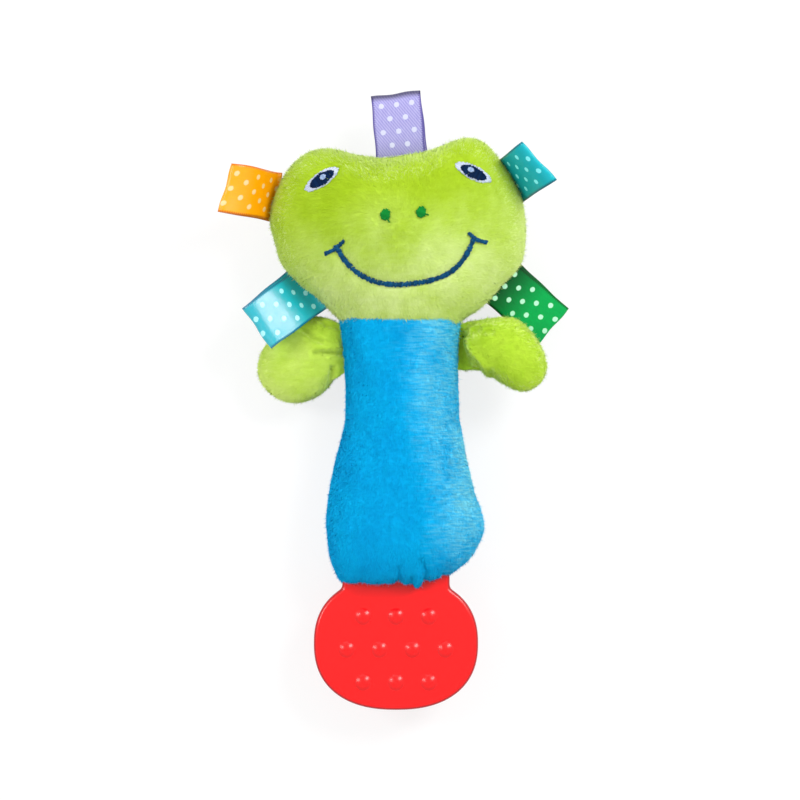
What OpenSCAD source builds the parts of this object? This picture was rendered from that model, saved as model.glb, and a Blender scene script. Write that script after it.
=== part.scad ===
// Frog rattle teether: a sewn plush frog that lies on its back, face up.
// The origin is on the table under the middle of the toy, +Y points to the head, +Z out of the face.
// All sizes are in millimetres and all angles in degrees.

/* [Plush] */
// Depth of the head and the body behind the side seam, before the resting flat
back_depth = 18.5; // [14:0.5:24]
// Depth of the flat where the plush rests on the table
rest_flat = 0.5; // [0.3:0.1:1]
// Thickness of the plush cloth with its pile
cloth_t = 2; // [1.2:0.1:2.6]
// Gap between a stuffing and the cloth round it
fill_gap = 0.6; // [0.4:0.1:1.2]

/* [Head] */
// Middle of the head, across the toy
head_x = 1.7; // [-2:0.1:6]
// Middle of the head, along the toy
head_y = 55.5; // [52:0.5:60]
// Lean of the head to the left
head_tilt = 3.5; // [0:0.5:8]
// Width over the cheeks
cheek_w = 83.2; // [72:0.2:96]
// Height of the crown above the middle
crown_rise = 23.5; // [20:0.2:26]
// Distance between the two brow tops
brow_span = 46.8; // [40:0.2:54]
// Height of the brow tops above the middle
brow_rise = 27.4; // [25:0.2:32]
// Roundness of a brow
brow_r = 8; // [6:0.5:10]
// Width over the jaws
jaw_w = 76.6; // [66:0.2:86]
// Drop of the jaws below the middle
jaw_drop = 13; // [10:0.5:16]
// Width over the chin corners
chin_w = 53; // [46:0.5:60]
// Drop of the chin corners below the middle
chin_drop = 24.2; // [21:0.2:27]
// Depth of the face in front of the side seam
face_depth = 21; // [15:0.5:27]

/* [Face stitching] */
// Thickness of a patch of satin stitch
stitch_t = 0.5; // [0.3:0.1:0.9]
// Distance of the pair of eyes to the right of the middle
eye_x = 0.7; // [-2:0.1:2]
// Distance between the middles of the eyes
eye_span = 49; // [42:0.5:54]
// Height of the eyes above the middle of the head
eye_rise = 16.8; // [13:0.2:19]
// Length of an eye
eye_l = 12.6; // [9:0.2:14]
// Height of an eye
eye_h = 5.6; // [4.4:0.2:8]
// Slant of an eye, outer corner down
eye_slant = 30; // [10:1:35]
// Width of the white border round an eye
eye_border = 1.1; // [0.7:0.1:1.6]
// Size of the glint in an eye
glint_d = 1.6; // [1.2:0.1:2]
// Distance of the nose and the mouth to the right of the middle
muzzle_x = 1.9; // [-4:0.1:4]
// Distance between the nostrils
nostril_span = 11.6; // [8:0.2:16]
// Height of the nostrils above the middle
nostril_rise = 4.4; // [2:0.2:8]
// Diameter of a nostril
nostril_d = 3.8; // [2.4:0.1:5]
// Width of the smile between its corners
smile_w = 44.8; // [36:0.2:52]
// Drop of the smile's corners below the middle
smile_drop = 6; // [2:0.1:8]
// Depth of the smile below its corners
smile_sag = 12.6; // [8:0.2:16]
// Width of the stitched line of the smile
smile_t = 1.7; // [1:0.1:2.4]
// Length of the bar at each corner of the smile
dimple_l = 6.4; // [4:0.2:9]

/* [Body] */
// Seam between the head and the body, along the toy
neck_y = 25.5; // [22:0.5:29]
// Width of the neck
neck_w = 39.4; // [34:0.2:44]
// Distance of the neck to the right of the middle
neck_x = 2; // [-2:0.1:6]
// Depth of the neck in front of the side seam
neck_depth = 14; // [11:0.5:16]
// Place of the waist along the toy
waist_y = 0; // [-6:0.5:6]
// Width of the waist
waist_w = 36.6; // [32:0.2:42]
// Distance of the waist to the right of the middle
waist_x = 3.1; // [-1:0.1:6]
// Depth of the waist in front of the side seam
waist_depth = 15; // [12:0.5:17]
// Place of the hips along the toy
hip_y = -39.5; // [-43:0.5:-36]
// Width of the hips
hip_w = 51.2; // [45:0.2:56]
// Distance of the hips to the right of the middle
hip_x = 4; // [-1:0.1:7]
// Depth of the hips in front of the side seam
hip_depth = 18; // [16.5:0.5:22]
// Width of the body between the hips and the hem
bag_w = 44.6; // [41:0.2:48]
// Place of that width along the toy
bag_y = -51; // [-53:0.5:-48]
// Lower edge of the body along the toy
hem_y = -58.5; // [-62:0.5:-57]

/* [Arms] */
// Middle of the shoulder seams along the toy
arm_y = 16; // [14:0.5:18]
// Thickness of an arm where it is pinched into the shoulder seam
arm_root_t = 4.4; // [3.4:0.2:6]
// Gap between an arm and the body's side seam
arm_gap = 0.5; // [0.4:0.1:1]
// Thickness of a paw
paw_t = 20; // [14:0.5:24]
// Length of the left shoulder seam
left_root_w = 19; // [14:0.5:20]
// Width of the left paw
left_paw_w = 26.4; // [20:0.2:28]
// Reach of the left arm from its seam
left_reach = 25.6; // [20:0.2:30]
// Drop of the left paw towards the hem
left_drop = 4.5; // [0:0.5:10]
// Lift of the left arm out of the seam plane
left_lift = -25; // [-27:1:-16]
// Length of the right shoulder seam
right_root_w = 17; // [14:0.5:20]
// Width of the right paw
right_paw_w = 23.6; // [20:0.2:28]
// Reach of the right arm from its seam
right_reach = 25.8; // [20:0.2:30]
// Drop of the right paw towards the hem
right_drop = 3.4; // [0:0.5:10]
// Lift of the right arm out of the seam plane
right_lift = 14; // [10:1:24]

/* [Ribbons] */
// Width of the satin ribbon
ribbon_w = 16; // [12:0.5:20]
// Thickness of the ribbon cloth
ribbon_t = 0.45; // [0.3:0.05:0.6]
// Gap between a ribbon loop and the head's seam
ribbon_gap = 0.5; // [0.4:0.05:0.8]
// Length of the top loop
top_ribbon_l = 19; // [14:0.5:24]
// Length of the upper left loop
upper_left_ribbon_l = 21.5; // [16:0.5:24]
// Length of the upper right loop
upper_right_ribbon_l = 19; // [14:0.5:22]
// Length of the lower left loop
lower_left_ribbon_l = 21; // [16:0.5:24]
// Length of the lower right loop
lower_right_ribbon_l = 22; // [16:0.5:24]

/* [Teether] */
// Middle of the teether across the toy
teether_x = 1.1; // [-2:0.1:6]
// Width of the chewing plate
plate_w = 53; // [46:0.5:60]
// Height of the chewing plate
plate_h = 43; // [38:0.5:48]
// Middle of the chewing plate along the toy
plate_y = -78.4; // [-82:0.2:-76]
// Thickness of the chewing plate
plate_t = 4; // [3:0.2:5]
// Radius of the plate's rounded edge
plate_edge_r = 1.3; // [0.6:0.1:1.4]
// Width of the plate's neck below the hem
plate_neck_w = 34.6; // [30:0.2:40]
// Gap between the neck's shoulders and the hem
shoulder_gap = 0.8; // [0.6:0.1:1.4]
// Width of the tab that is sewn into the hem
tab_w = 26; // [22:0.5:28]
// Thickness of the tab
tab_t = 3.2; // [2.4:0.2:4]
// Depth of the tab inside the hem
tab_l = 7; // [5:0.5:8]
// Gap between the tab and the cloth of the hem
tab_gap = 0.3; // [0.2:0.05:0.5]
// Diameter of the sewing holes in the tab
sew_hole_d = 2.4; // [1.6:0.1:3]
// Number of sewing holes
sew_hole_count = 5; // [3:1:6]
// Diameter of a chewing bump
bump_d = 5.4; // [4:0.1:7]
// Height of a chewing bump
bump_h = 0.9; // [0.6:0.1:2]
// Distance between neighbouring bumps
bump_pitch = 10.6; // [8:0.1:12]
// How far the middle row of bumps lies below the plate's middle
bump_drop = 2; // [0:0.1:2.5]

/* [Rattle] */
// Outside diameter of the rattle barrel
barrel_d = 26; // [24:0.5:28]
// Outside length of the rattle barrel
barrel_l = 30; // [24:0.5:32]
// Wall of the barrel
barrel_wall = 1.5; // [1:0.1:2]
// Rounding of the barrel's ends
barrel_r = 3; // [2:0.5:3.5]
// Length of the barrel's cap
cap_l = 10; // [8:0.5:12]
// Length of the cup's lip inside the cap
lip_l = 3; // [2:0.5:4]
// Gap between the lip and the cap
lip_gap = 0.15; // [0.1:0.05:0.3]
// Lower end of the barrel along the toy
barrel_y = -45; // [-47:0.5:-43]
// Gap between the barrel and the stuffing
barrel_gap = 0.4; // [0.2:0.1:1]
// Diameter of a rattle bead
bead_d = 5; // [4:0.2:6]
// Gap round a bead
bead_gap = 0.3; // [0.2:0.05:0.5]
// Distance along the barrel between one bead and the next
bead_step = 3; // [0:0.5:4]

/* [Hidden] */
$fn = 48;

// The side seams, the ribbons, the arms and the teether all lie in this plane.
seam_z = back_depth - rest_flat;
front = 1;
back = -1;

// Counts of the plush grids: round the head, from its middle to its rim, and across half a tube.
head_cols = 60;
head_rings = 7;
tube_cols = 10;
stuffing_share = 2;

plush_green = "#b9df45";
plush_blue = "#14a9e6";
thread_navy = "#0f2c5c";
thread_white = "#e6ebf2";
thread_green = "#12913a";
teether_red = "#f5302f";
stuffing_white = "#f2f2ee";
barrel_white = "#e9e6dc";
bead_yellow = "#f4c52c";

// Smooth curve through knots [position, value] in rising order of position.
function knot_slope(knots, i) =
    let (a = max(i - 1, 0), b = min(i + 1, len(knots) - 1))
    (knots[b][1] - knots[a][1]) / (knots[b][0] - knots[a][0]);

function knot_span(knots, t) =
    min(max(len([for (k = knots) if (k[0] <= t) 1]) - 1, 0), len(knots) - 2);

function curve(knots, t) =
    let (
        i = knot_span(knots, t),
        h = knots[i + 1][0] - knots[i][0],
        u = (t - knots[i][0]) / h,
        v0 = knots[i][1],
        v1 = knots[i + 1][1],
        s0 = knot_slope(knots, i) * h,
        s1 = knot_slope(knots, i + 1) * h
    )
    v0 + u * (s0 + u * (3 * (v1 - v0) - 2 * s0 - s1 + u * (2 * (v0 - v1) + s0 + s1)));

function spaced(first, last, steps) = [for (k = [0 : steps]) first + (last - first) * k / steps];

// Head outline: landmarks of the right half, from the hidden chin up to the crown.
head_marks = [
    [0, -(head_y - neck_y) - neck_w / 4],
    [neck_w / 2 + 0.3 * cloth_t, -(head_y - neck_y)],
    [chin_w / 2, -chin_drop],
    [jaw_w / 2, -jaw_drop],
    [cheek_w / 2, cheek_w / 80],
    [(cheek_w + brow_span) / 4 + 0.75 * brow_r, brow_rise * 0.48],
    [brow_span / 2 + brow_r, brow_rise - 0.425 * brow_r],
    [brow_span / 2, brow_rise],
    [brow_span / 2 - 1.5 * brow_r, (crown_rise + brow_rise) / 2 - 0.075 * brow_r],
    [0, crown_rise]
];
function mark_angle(p) = atan2(p[1], p[0]);
right_half = [for (p = head_marks) [mark_angle(p), norm(p)]];
left_half = [for (i = [len(head_marks) - 2 : -1 : 1]) [180 - right_half[i][0], right_half[i][1]]];
one_turn = concat(right_half, left_half);
head_knots = concat(
    [for (k = one_turn) [k[0] - 360, k[1]]],
    one_turn,
    [for (k = one_turn) [k[0] + 360, k[1]]]
);

// Distance from the middle of the head to its seam, at an angle from +X in the part's frame.
function head_radius(angle) = curve(head_knots, angle - head_tilt);

// How full the head is at a share of the way from its middle (0) to its seam (90).
function pillow(phi) = pow(cos(phi), 0.85);

// Largest share angle before the neck seam cuts the head off.
function head_limit(angle, inset) =
    let (
        down = -sin(angle),
        reach = down > 0.01 ? (head_y - neck_y) / down / (head_radius(angle) - inset) : 1
    )
    reach < 0.9999 ? asin(reach) : 90;

// Angle where the head's seam runs into the neck seam, between one above it and one below it.
function neck_angle(above, below, halvings) =
    let (angle = (above + below) / 2)
    halvings == 0 ? angle
    : -head_radius(angle) * sin(angle) < head_y - neck_y ? neck_angle(angle, below, halvings - 1)
    : neck_angle(above, angle, halvings - 1);

// Columns round the head; two of them fall on the corners of the neck.
right_neck = neck_angle(-20, -90, 40);
left_neck = neck_angle(200, 270, 40);
neck_cols = 12;
head_angles = concat(
    spaced(right_neck, left_neck, head_cols - neck_cols),
    [for (k = [1 : neck_cols - 1]) left_neck + (right_neck + 360 - left_neck) * k / neck_cols]
);

function head_point(angle, share, inset, side) =
    let (
        phi = head_limit(angle, inset) * share,
        out = (head_radius(angle) - inset) * sin(phi),
        depth = (side == front ? face_depth : back_depth) - inset
    )
    [head_x + out * cos(angle), head_y + out * sin(angle), seam_z + side * depth * pillow(phi)];

function head_grid(cols, rings, inset, side) = [
    for (k = [1 : rings], j = [0 : cols - 1])
        head_point(head_angles[j * head_cols / cols], k / rings, inset, side)
];

function head_middle(inset, side) =
    [head_x, head_y, seam_z + side * ((side == front ? face_depth : back_depth) - inset)];

// Height of the face over a place on the table.
function face_z(p) =
    let (
        angle = atan2(p[1] - head_y, p[0] - head_x),
        share = norm([p[0] - head_x, p[1] - head_y]) / head_radius(angle)
    )
    seam_z + face_depth * pillow(asin(min(share, 1)));

// A place on the face, from the middle of the head, before it leans.
function on_face(p) = [
    head_x + p[0] * cos(head_tilt) - p[1] * sin(head_tilt),
    head_y + p[0] * sin(head_tilt) + p[1] * cos(head_tilt)
];

// Triangles of a grid of points, row after row.
function cell(a, b, c, d, flip) = flip ? [[a, b, c], [a, c, d]] : [[a, c, b], [a, d, c]];

function grid_faces(rows, cols, base, wrap, flip) = [
    for (i = [0 : rows - 2], j = [0 : cols - (wrap ? 1 : 2)])
        let (n = (j + 1) % cols, a = base + i * cols, b = a + cols)
        each cell(a + j, a + n, b + n, b + j, flip)
];

function fan_faces(middle, first, cols, flip) = [
    for (j = [0 : cols - 1])
        let (a = first + j, b = first + (j + 1) % cols)
        flip ? [middle, b, a] : [middle, a, b]
];

// A band of triangles between two closed loops of points.
function band_faces(loop_a, loop_b, flip) = [
    for (k = [0 : len(loop_a) - 1])
        let (n = (k + 1) % len(loop_a))
        each cell(loop_a[k], loop_a[n], loop_b[n], loop_b[k], flip)
];

function run(first, count) = [for (j = [0 : count - 1]) first + j];

// A dished cloth panel between an outer and an inner surface, each a middle and rings of points.
module disc_shell(outer_middle, outer, inner_middle, inner, cols, flip) {
    rings = len(outer) / cols;
    inner_base = 1 + len(outer);
    polyhedron(
        points = concat([outer_middle], outer, [inner_middle], inner),
        faces = concat(
            fan_faces(0, 1, cols, flip),
            grid_faces(rings, cols, 1, true, flip),
            fan_faces(inner_base, inner_base + 1, cols, !flip),
            grid_faces(rings, cols, inner_base + 1, true, !flip),
            band_faces(
                run(1 + (rings - 1) * cols, cols),
                run(inner_base + 1 + (rings - 1) * cols, cols),
                flip
            )
        )
    );
}

// A cloth panel between an outer and an inner sheet of points with the same rows and columns.
module sheet_shell(outer, inner, cols, flip) {
    rows = len(outer) / cols;
    edge = concat(
        run(0, cols),
        [for (i = [1 : rows - 2]) i * cols + cols - 1],
        [for (j = [cols - 1 : -1 : 0]) (rows - 1) * cols + j],
        [for (i = [rows - 2 : -1 : 1]) i * cols]
    );
    polyhedron(
        points = concat(outer, inner),
        faces = concat(
            grid_faces(rows, cols, 0, false, flip),
            grid_faces(rows, cols, len(outer), false, !flip),
            band_faces(edge, [for (k = edge) k + len(outer)], !flip)
        )
    );
}

// A closed lump from rings of points, each ring flat.
module ring_solid(points, cols, flip) {
    rows = len(points) / cols;
    first = run(0, cols);
    last = run((rows - 1) * cols, cols);
    polyhedron(
        points = points,
        faces = concat(
            grid_faces(rows, cols, 0, true, flip),
            [for (j = [1 : cols - 2]) flip ? [first[0], first[j + 1], first[j]] : [first[0], first[j], first[j + 1]]],
            [for (j = [1 : cols - 2]) flip ? [last[0], last[j], last[j + 1]] : [last[0], last[j + 1], last[j]]]
        )
    );
}

// The table cuts a flat into the plush that rests on it.
module on_table() {
    deep = 2 * back_depth;
    wide = 4 * cheek_w;
    difference() {
        children();
        translate([-wide / 2, -wide / 2, -deep]) cube([wide, wide, deep]);
    }
}

// Head

module head_panel(side) {
    disc_shell(
        head_middle(0, side), head_grid(head_cols, head_rings, 0, side),
        head_middle(cloth_t, side), head_grid(head_cols, head_rings, cloth_t, side),
        head_cols, side == front
    );
}

module face_panel() {
    color(plush_green) head_panel(front);
}

module head_back_panel() {
    color(plush_green) on_table() head_panel(back);
}

// One wad of stuffing fills the face, one the back of the head.
module head_wad(side) {
    cols = head_cols / stuffing_share;
    rings = 4;
    inset = cloth_t + fill_gap;
    top = head_grid(cols, rings, inset, side);
    rim = [for (j = [0 : cols - 1]) top[(rings - 1) * cols + j]];
    lifted = [
        for (i = [0 : len(top) - 1])
            i < (rings - 1) * cols ? top[i]
            : [top[i][0], max(top[i][1], neck_y + fill_gap), side * max(side * top[i][2], side * seam_z + fill_gap)]
    ];
    floor_ring = [for (p = rim) [p[0], max(p[1], neck_y + fill_gap), seam_z + side * fill_gap / 4]];
    floor_first = 1 + len(top);
    polyhedron(
        points = concat([head_middle(inset, side)], lifted, floor_ring, [[head_x, head_y, floor_ring[0][2]]]),
        faces = concat(
            fan_faces(0, 1, cols, side == front),
            grid_faces(rings, cols, 1, true, side == front),
            band_faces(run(1 + (rings - 1) * cols, cols), run(floor_first, cols), side == front),
            fan_faces(floor_first + cols, floor_first, cols, side == back)
        )
    );
}

module head_stuffing() {
    color(stuffing_white) {
        head_wad(front);
        head_wad(back);
    }
}

// Face stitching: patches that follow the face, each lying on the layer under it.
stitch_lift = 0.15;

// Outline points to a patch of stitching; the outline is convex and goes round its middle.
module patch(outline, middle, level, thickness) {
    low = stitch_lift + level;
    loop = [for (p = outline) on_face(p)];
    core = on_face(middle);
    n = len(loop);
    half = [for (p = loop) (p + core) / 2];
    layer_points = function (lift) concat(
        [[core[0], core[1], face_z(core) + lift]],
        [for (p = half) [p[0], p[1], face_z(p) + lift]],
        [for (p = loop) [p[0], p[1], face_z(p) + lift]]
    );
    top = 2 * n + 1;
    polyhedron(
        points = concat(layer_points(low), layer_points(low + thickness)),
        faces = concat(
            fan_faces(0, 1, n, false),
            grid_faces(2, n, 1, true, false),
            fan_faces(top, top + 1, n, true),
            grid_faces(2, n, top + 1, true, true),
            band_faces(run(n + 1, n), run(top + n + 1, n), false)
        )
    );
}

function turned(p, angle) = [p[0] * cos(angle) - p[1] * sin(angle), p[0] * sin(angle) + p[1] * cos(angle)];

// An almond for an eye: an oval whose ends are a little pointed.
function almond(length, height, slant, middle) = [
    for (a = [0 : 15 : 345])
        middle + turned([length / 2 * cos(a), height / 2 * sin(a) * (0.72 + 0.28 * abs(sin(a)))], slant)
];

function round_spot(d, middle) = [for (a = [0 : 30 : 330]) middle + d / 2 * [cos(a), sin(a)]];

function eye_middle(hand) = [eye_x + hand * eye_span / 2, eye_rise];
left = -1;
right = 1;
layer_gap = 0.05;

module eye_white(hand) {
    middle = eye_middle(hand);
    color(thread_white) patch(almond(eye_l, eye_h, -hand * eye_slant, middle), middle, 0, stitch_t);
}

module eye_pupil(hand) {
    middle = eye_middle(hand);
    color(thread_navy)
        patch(
            almond(eye_l - 2 * eye_border, eye_h - 2 * eye_border, -hand * eye_slant, middle),
            middle, stitch_t + layer_gap, stitch_t / 2
        );
}

module eye_glint(hand) {
    middle = eye_middle(hand) + turned([0, (eye_h - 2 * eye_border - glint_d) / 3], -hand * eye_slant);
    color(thread_white) patch(round_spot(glint_d, middle), middle, 1.5 * stitch_t + 2 * layer_gap, stitch_t / 2);
}

module nostril(hand) {
    middle = [muzzle_x + hand * nostril_span / 2, nostril_rise];
    color(thread_green) patch(round_spot(nostril_d, middle), middle, 0, stitch_t);
}

// A stitched line along points on the face.
module stitched_line(path, width) {
    n = len(path);
    ahead = function (i) let (d = path[min(i + 1, n - 1)] - path[max(i - 1, 0)]) d / norm(d);
    rows = [
        for (i = [0 : n - 1])
            let (s = width / 2 * turned(ahead(i), 90), a = on_face(path[i] + s), b = on_face(path[i] - s))
            each [
                [a[0], a[1], face_z(a) + stitch_lift],
                [b[0], b[1], face_z(b) + stitch_lift],
                [b[0], b[1], face_z(b) + stitch_lift + stitch_t],
                [a[0], a[1], face_z(a) + stitch_lift + stitch_t]
            ]
    ];
    ring_solid(rows, 4, true);
}

// The smile is a flattened arc; a short bar crosses each end of it.
function smile_point(u) =
    [muzzle_x + u * smile_w / 2, -smile_drop - smile_sag * pow(1 - u * u, 0.6)];

module smile_stitching() {
    steps = 22;
    end_share = 0.995;
    bar_gap = 0.3;
    color(thread_navy) {
        stitched_line([for (k = [0 : steps]) smile_point(end_share * sin(90 * (2 * k / steps - 1)))], smile_t);
        for (hand = [left, right]) {
            corner = smile_point(hand) + [0, smile_t / 2 + bar_gap];
            slope = hand * -29;
            stitched_line(
                [for (u = [-1 : 0.5 : 1]) corner + turned([u * dimple_l / 2, abs(u) * 0.6], slope)],
                smile_t * 0.7
            );
        }
    }
}

// Ribbons: [outline angle where the loop is sewn in, heading, tilt out of the seam plane,
// fullness as a share of the ribbon's width].
top_sewn = [88, 95, 0, 0.05];
upper_left_sewn = [168, 165, 38, 0.1];
upper_right_sewn = [22.1, 41, 55, 0.09];
lower_left_sewn = [214, 218.7, 36, 0.06];
lower_right_sewn = [-27.3, -39, -26, 0.05];

// Half the gap between the two layers of a loop, from its root (0) to its fold (1).
function loop_gap(u, fullness) = fullness * ribbon_w * pow(u, 0.4) * sqrt(1 - pow(u, 4)) * 1.25;

module loop_profile(length, fullness) {
    steps = 10;
    tuck = ribbon_w / 8;
    shares = [for (k = [0 : steps]) sin(90 * k / steps)];
    inner_len = length - ribbon_t;
    outer_b = function (u) loop_gap(u, fullness) + ribbon_t * sqrt(1 - pow(u, 6));
    difference() {
        polygon(concat(
            [[-tuck, ribbon_t]],
            [for (u = shares) [length * u, outer_b(u)]],
            [for (k = [steps - 1 : -1 : 0]) [length * shares[k], -outer_b(shares[k])]],
            [[-tuck, -ribbon_t]]
        ));
        polygon(concat(
            [for (k = [1 : steps]) [inner_len * shares[k], loop_gap(shares[k], fullness)]],
            [for (k = [steps - 1 : -1 : 1]) [inner_len * shares[k], -loop_gap(shares[k], fullness)]]
        ));
    }
}

// The seam of the head, seen from the front, grown by a gap.
module head_outline(gap) {
    polygon([
        for (angle = head_angles)
            let (r = head_radius(angle) + gap)
            [head_x + r * cos(angle), head_y + r * sin(angle)]
    ]);
}

function sewn_point(sewn) =
    let (r = head_radius(sewn[0]) + ribbon_gap)
    [head_x + r * cos(sewn[0]), head_y + r * sin(sewn[0]), seam_z];

module ribbon(sewn, length, tint) {
    tall = 4 * face_depth;
    color(tint)
        difference() {
            translate(sewn_point(sewn))
                rotate([0, 0, sewn[1]])
                    rotate([0, -sewn[2], 0])
                        rotate([90, 0, 0])
                            linear_extrude(ribbon_w, center = true) loop_profile(length, sewn[3]);
            translate([0, 0, seam_z - tall / 2]) linear_extrude(tall) head_outline(ribbon_gap);
        }
}

// Body

// The hem's mouth is an oval round the tab, this much wider than the tab.
hem_ease = 1.15;
hem_half_w = tab_w / 2 * hem_ease + tab_gap + cloth_t;
hem_depth = tab_t / 2 / sqrt(1 - 1 / (hem_ease * hem_ease)) + tab_gap + cloth_t;
width_knots = [
    [hem_y, hem_half_w],
    [bag_y, bag_w / 2],
    [hip_y, hip_w / 2],
    [waist_y + (hip_y - waist_y) * 0.55, waist_w / 2 + (hip_w - waist_w) / 2 * 0.48],
    [waist_y, waist_w / 2],
    [neck_y, neck_w / 2]
];
middle_knots = [[hem_y, teether_x], [hip_y, hip_x], [waist_y, waist_x], [neck_y, neck_x]];
front_knots = [[hip_y, hip_depth], [waist_y, waist_depth], [neck_y, neck_depth]];
back_knots = [[hip_y, back_depth], [waist_y, waist_depth], [neck_y, neck_depth]];

function body_half_w(y) = curve(width_knots, y);
function body_middle(y) = curve(middle_knots, y);

// The lower end rounds off from the hips to the hem.
function body_depth(y, side) =
    let (knots = side == front ? front_knots : back_knots, u = (hip_y - y) / (hip_y - hem_y))
    y >= hip_y ? curve(knots, y)
    : hem_depth + (knots[0][1] - hem_depth) * sqrt(max(1 - u * u, 0));

body_rows = concat(
    spaced(neck_y, hip_y, 9),
    [for (k = [1 : 6]) hip_y + (hem_y - hip_y) * sin(15 * k)]
);

function body_point(y, phi, inset, side) = [
    body_middle(y) + (body_half_w(y) - inset) * cos(phi),
    y,
    seam_z + side * (body_depth(y, side) - inset) * sin(phi)
];

function body_sheet(inset, side) = [
    for (y = body_rows, j = [0 : tube_cols]) body_point(y, 180 * j / tube_cols, inset, side)
];

module body_panel(side) {
    sheet_shell(body_sheet(0, side), body_sheet(cloth_t, side), tube_cols + 1, side == back);
}

module body_front_panel() {
    color(plush_blue) body_panel(front);
}

module body_back_panel() {
    color(plush_blue) on_table() body_panel(back);
}

// The stuffing packs round the rattle and stops short of the teether's tab.
stuffing_end = hem_y + tab_l + 2.5;

module body_stuffing() {
    cols = 16;
    inset = cloth_t + fill_gap;
    levels = concat(spaced(neck_y - fill_gap, hip_y, 7), spaced(hip_y - 4, stuffing_end, 2));
    rings = [
        for (y = levels, j = [0 : cols - 1])
            let (phi = 360 * j / cols)
            phi <= 180 ? body_point(y, phi, inset, front) : body_point(y, 360 - phi, inset, back)
    ];
    color(stuffing_white)
        difference() {
            ring_solid(rings, cols, false);
            barrel_place() barrel_form(barrel_gap);
        }
}

// Arms: each is pinched into the side seam of the body and swells to a paw.
// [hand, seam length, paw width, reach, drop, lift]
left_arm = [left, left_root_w, left_paw_w, left_reach, left_drop, left_lift];
right_arm = [right, right_root_w, right_paw_w, right_reach, right_drop, right_lift];

// The shoulder seam runs along the side of the body; the arm turns about a line just outside it.
function side_x(y, hand) = body_middle(y) + hand * body_half_w(y);

function arm_seat(arm) =
    let (
        hand = arm[0],
        low = [side_x(arm_y - arm[1] / 2, hand), arm_y - arm[1] / 2],
        high = [side_x(arm_y + arm[1] / 2, hand), arm_y + arm[1] / 2],
        along = (high - low) / norm(high - low),
        out = hand * [along[1], -along[0]],
        clear = max([for (y = spaced(low[1], high[1], 8)) ([side_x(y, hand), y] - low) * out])
    )
    [(low + high) / 2 + out * (clear + arm_gap + arm_root_t / 2), out, along];

// Rows along the arm: [distance from the seat, share of the seam-to-paw swell, rounding].
function arm_rows(arm) = concat(
    [for (a = [78, 40]) [-arm_root_t / 2 * sin(a), 0, cos(a)]],
    [for (u = spaced(0, 1, 5)) [u * arm[3] * 0.58, u, 1]],
    [for (k = [1 : 5]) [arm[3] * (0.58 + 0.42 * sin(17 * k)), 1, cos(17 * k)]]
);

function arm_point(arm, row, phi, inset, side) =
    let (
        seat = arm_seat(arm),
        swell = sin(90 * row[1]),
        wide = (arm[1] + (arm[2] - arm[1]) * swell) / 2 * (row[0] < 0 ? 1 : row[2]),
        deep = (arm_root_t + (paw_t - arm_root_t) * swell) / 2 * row[2],
        w = max(wide - inset, wide * 0.25),
        d = max(deep - inset, deep * 0.2),
        s = row[0] - (row[1] == 1 ? inset * (1 - row[2]) : 0),
        e = w * cos(phi) - arm[4] * pow(max(row[0], 0) / arm[3], 1.3),
        z = side * d * sin(phi),
        s_turned = s * cos(arm[5]) - z * sin(arm[5]),
        flat = seat[0] + seat[1] * s_turned + seat[2] * e
    )
    [flat[0], flat[1], seam_z + s * sin(arm[5]) + z * cos(arm[5])];

function arm_sheet(arm, inset, side) = [
    for (row = arm_rows(arm), j = [0 : tube_cols]) arm_point(arm, row, 180 * j / tube_cols, inset, side)
];

module arm_panel(arm, side) {
    color(plush_green)
        sheet_shell(
            arm_sheet(arm, 0, side), arm_sheet(arm, cloth_t, side), tube_cols + 1,
            (side == front) == (arm[0] == left)
        );
}

module arm_stuffing(arm) {
    cols = 12;
    inset = cloth_t + fill_gap;
    rows = [for (row = arm_rows(arm)) if (row[1] > 0.3) row];
    rings = [
        for (row = rows, j = [0 : cols - 1])
            let (phi = 360 * j / cols)
            phi <= 180 ? arm_point(arm, row, phi, inset, front) : arm_point(arm, row, 360 - phi, inset, back)
    ];
    color(stuffing_white) ring_solid(rings, cols, arm[0] == left);
}

// Rattle: a cup and a cap that plugs into it, along the body, with loose beads inside.

module barrel_place() {
    translate([hip_x, barrel_y, seam_z]) rotate([-90, 0, 0]) children();
}

// Half section of the closed barrel, grown by a gap.
module barrel_form(gap) {
    r = barrel_d / 2 + gap;
    corner = barrel_r + gap;
    rotate_extrude()
        intersection() {
            translate([0, -gap]) square([r, barrel_l + 2 * gap]);
            union() {
                translate([0, barrel_r]) square([r, barrel_l - 2 * barrel_r]);
                translate([0, -gap]) square([r - corner, barrel_l + 2 * gap]);
                for (y = [barrel_r, barrel_l - barrel_r]) translate([r - corner, y]) circle(corner);
            }
        }
}

module barrel_hollow() {
    inner_r = barrel_d / 2 - barrel_wall;
    translate([0, 0, barrel_wall]) cylinder(r = inner_r, h = barrel_l - 2 * barrel_wall);
}

parting = barrel_l - cap_l;
lip_r = barrel_d / 2 - barrel_wall / 2 - lip_gap / 2;

// The cup's lip stands inside the cap, so the bore runs on without a step.
module rattle_cup() {
    color(barrel_white)
        barrel_place()
            difference() {
                barrel_form(0);
                barrel_hollow();
                translate([0, 0, parting + lip_l]) cylinder(d = 2 * barrel_d, h = barrel_l);
                translate([0, 0, parting])
                    difference() {
                        cylinder(d = 2 * barrel_d, h = barrel_l);
                        cylinder(r = lip_r, h = barrel_l);
                    }
            }
}

module rattle_cap() {
    color(barrel_white)
        barrel_place()
            difference() {
                barrel_form(0);
                barrel_hollow();
                translate([0, 0, parting - barrel_l]) cylinder(d = 2 * barrel_d, h = barrel_l);
                translate([0, 0, parting - lip_gap]) cylinder(r = lip_r + lip_gap, h = lip_l + 2 * lip_gap);
            }
}

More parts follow.
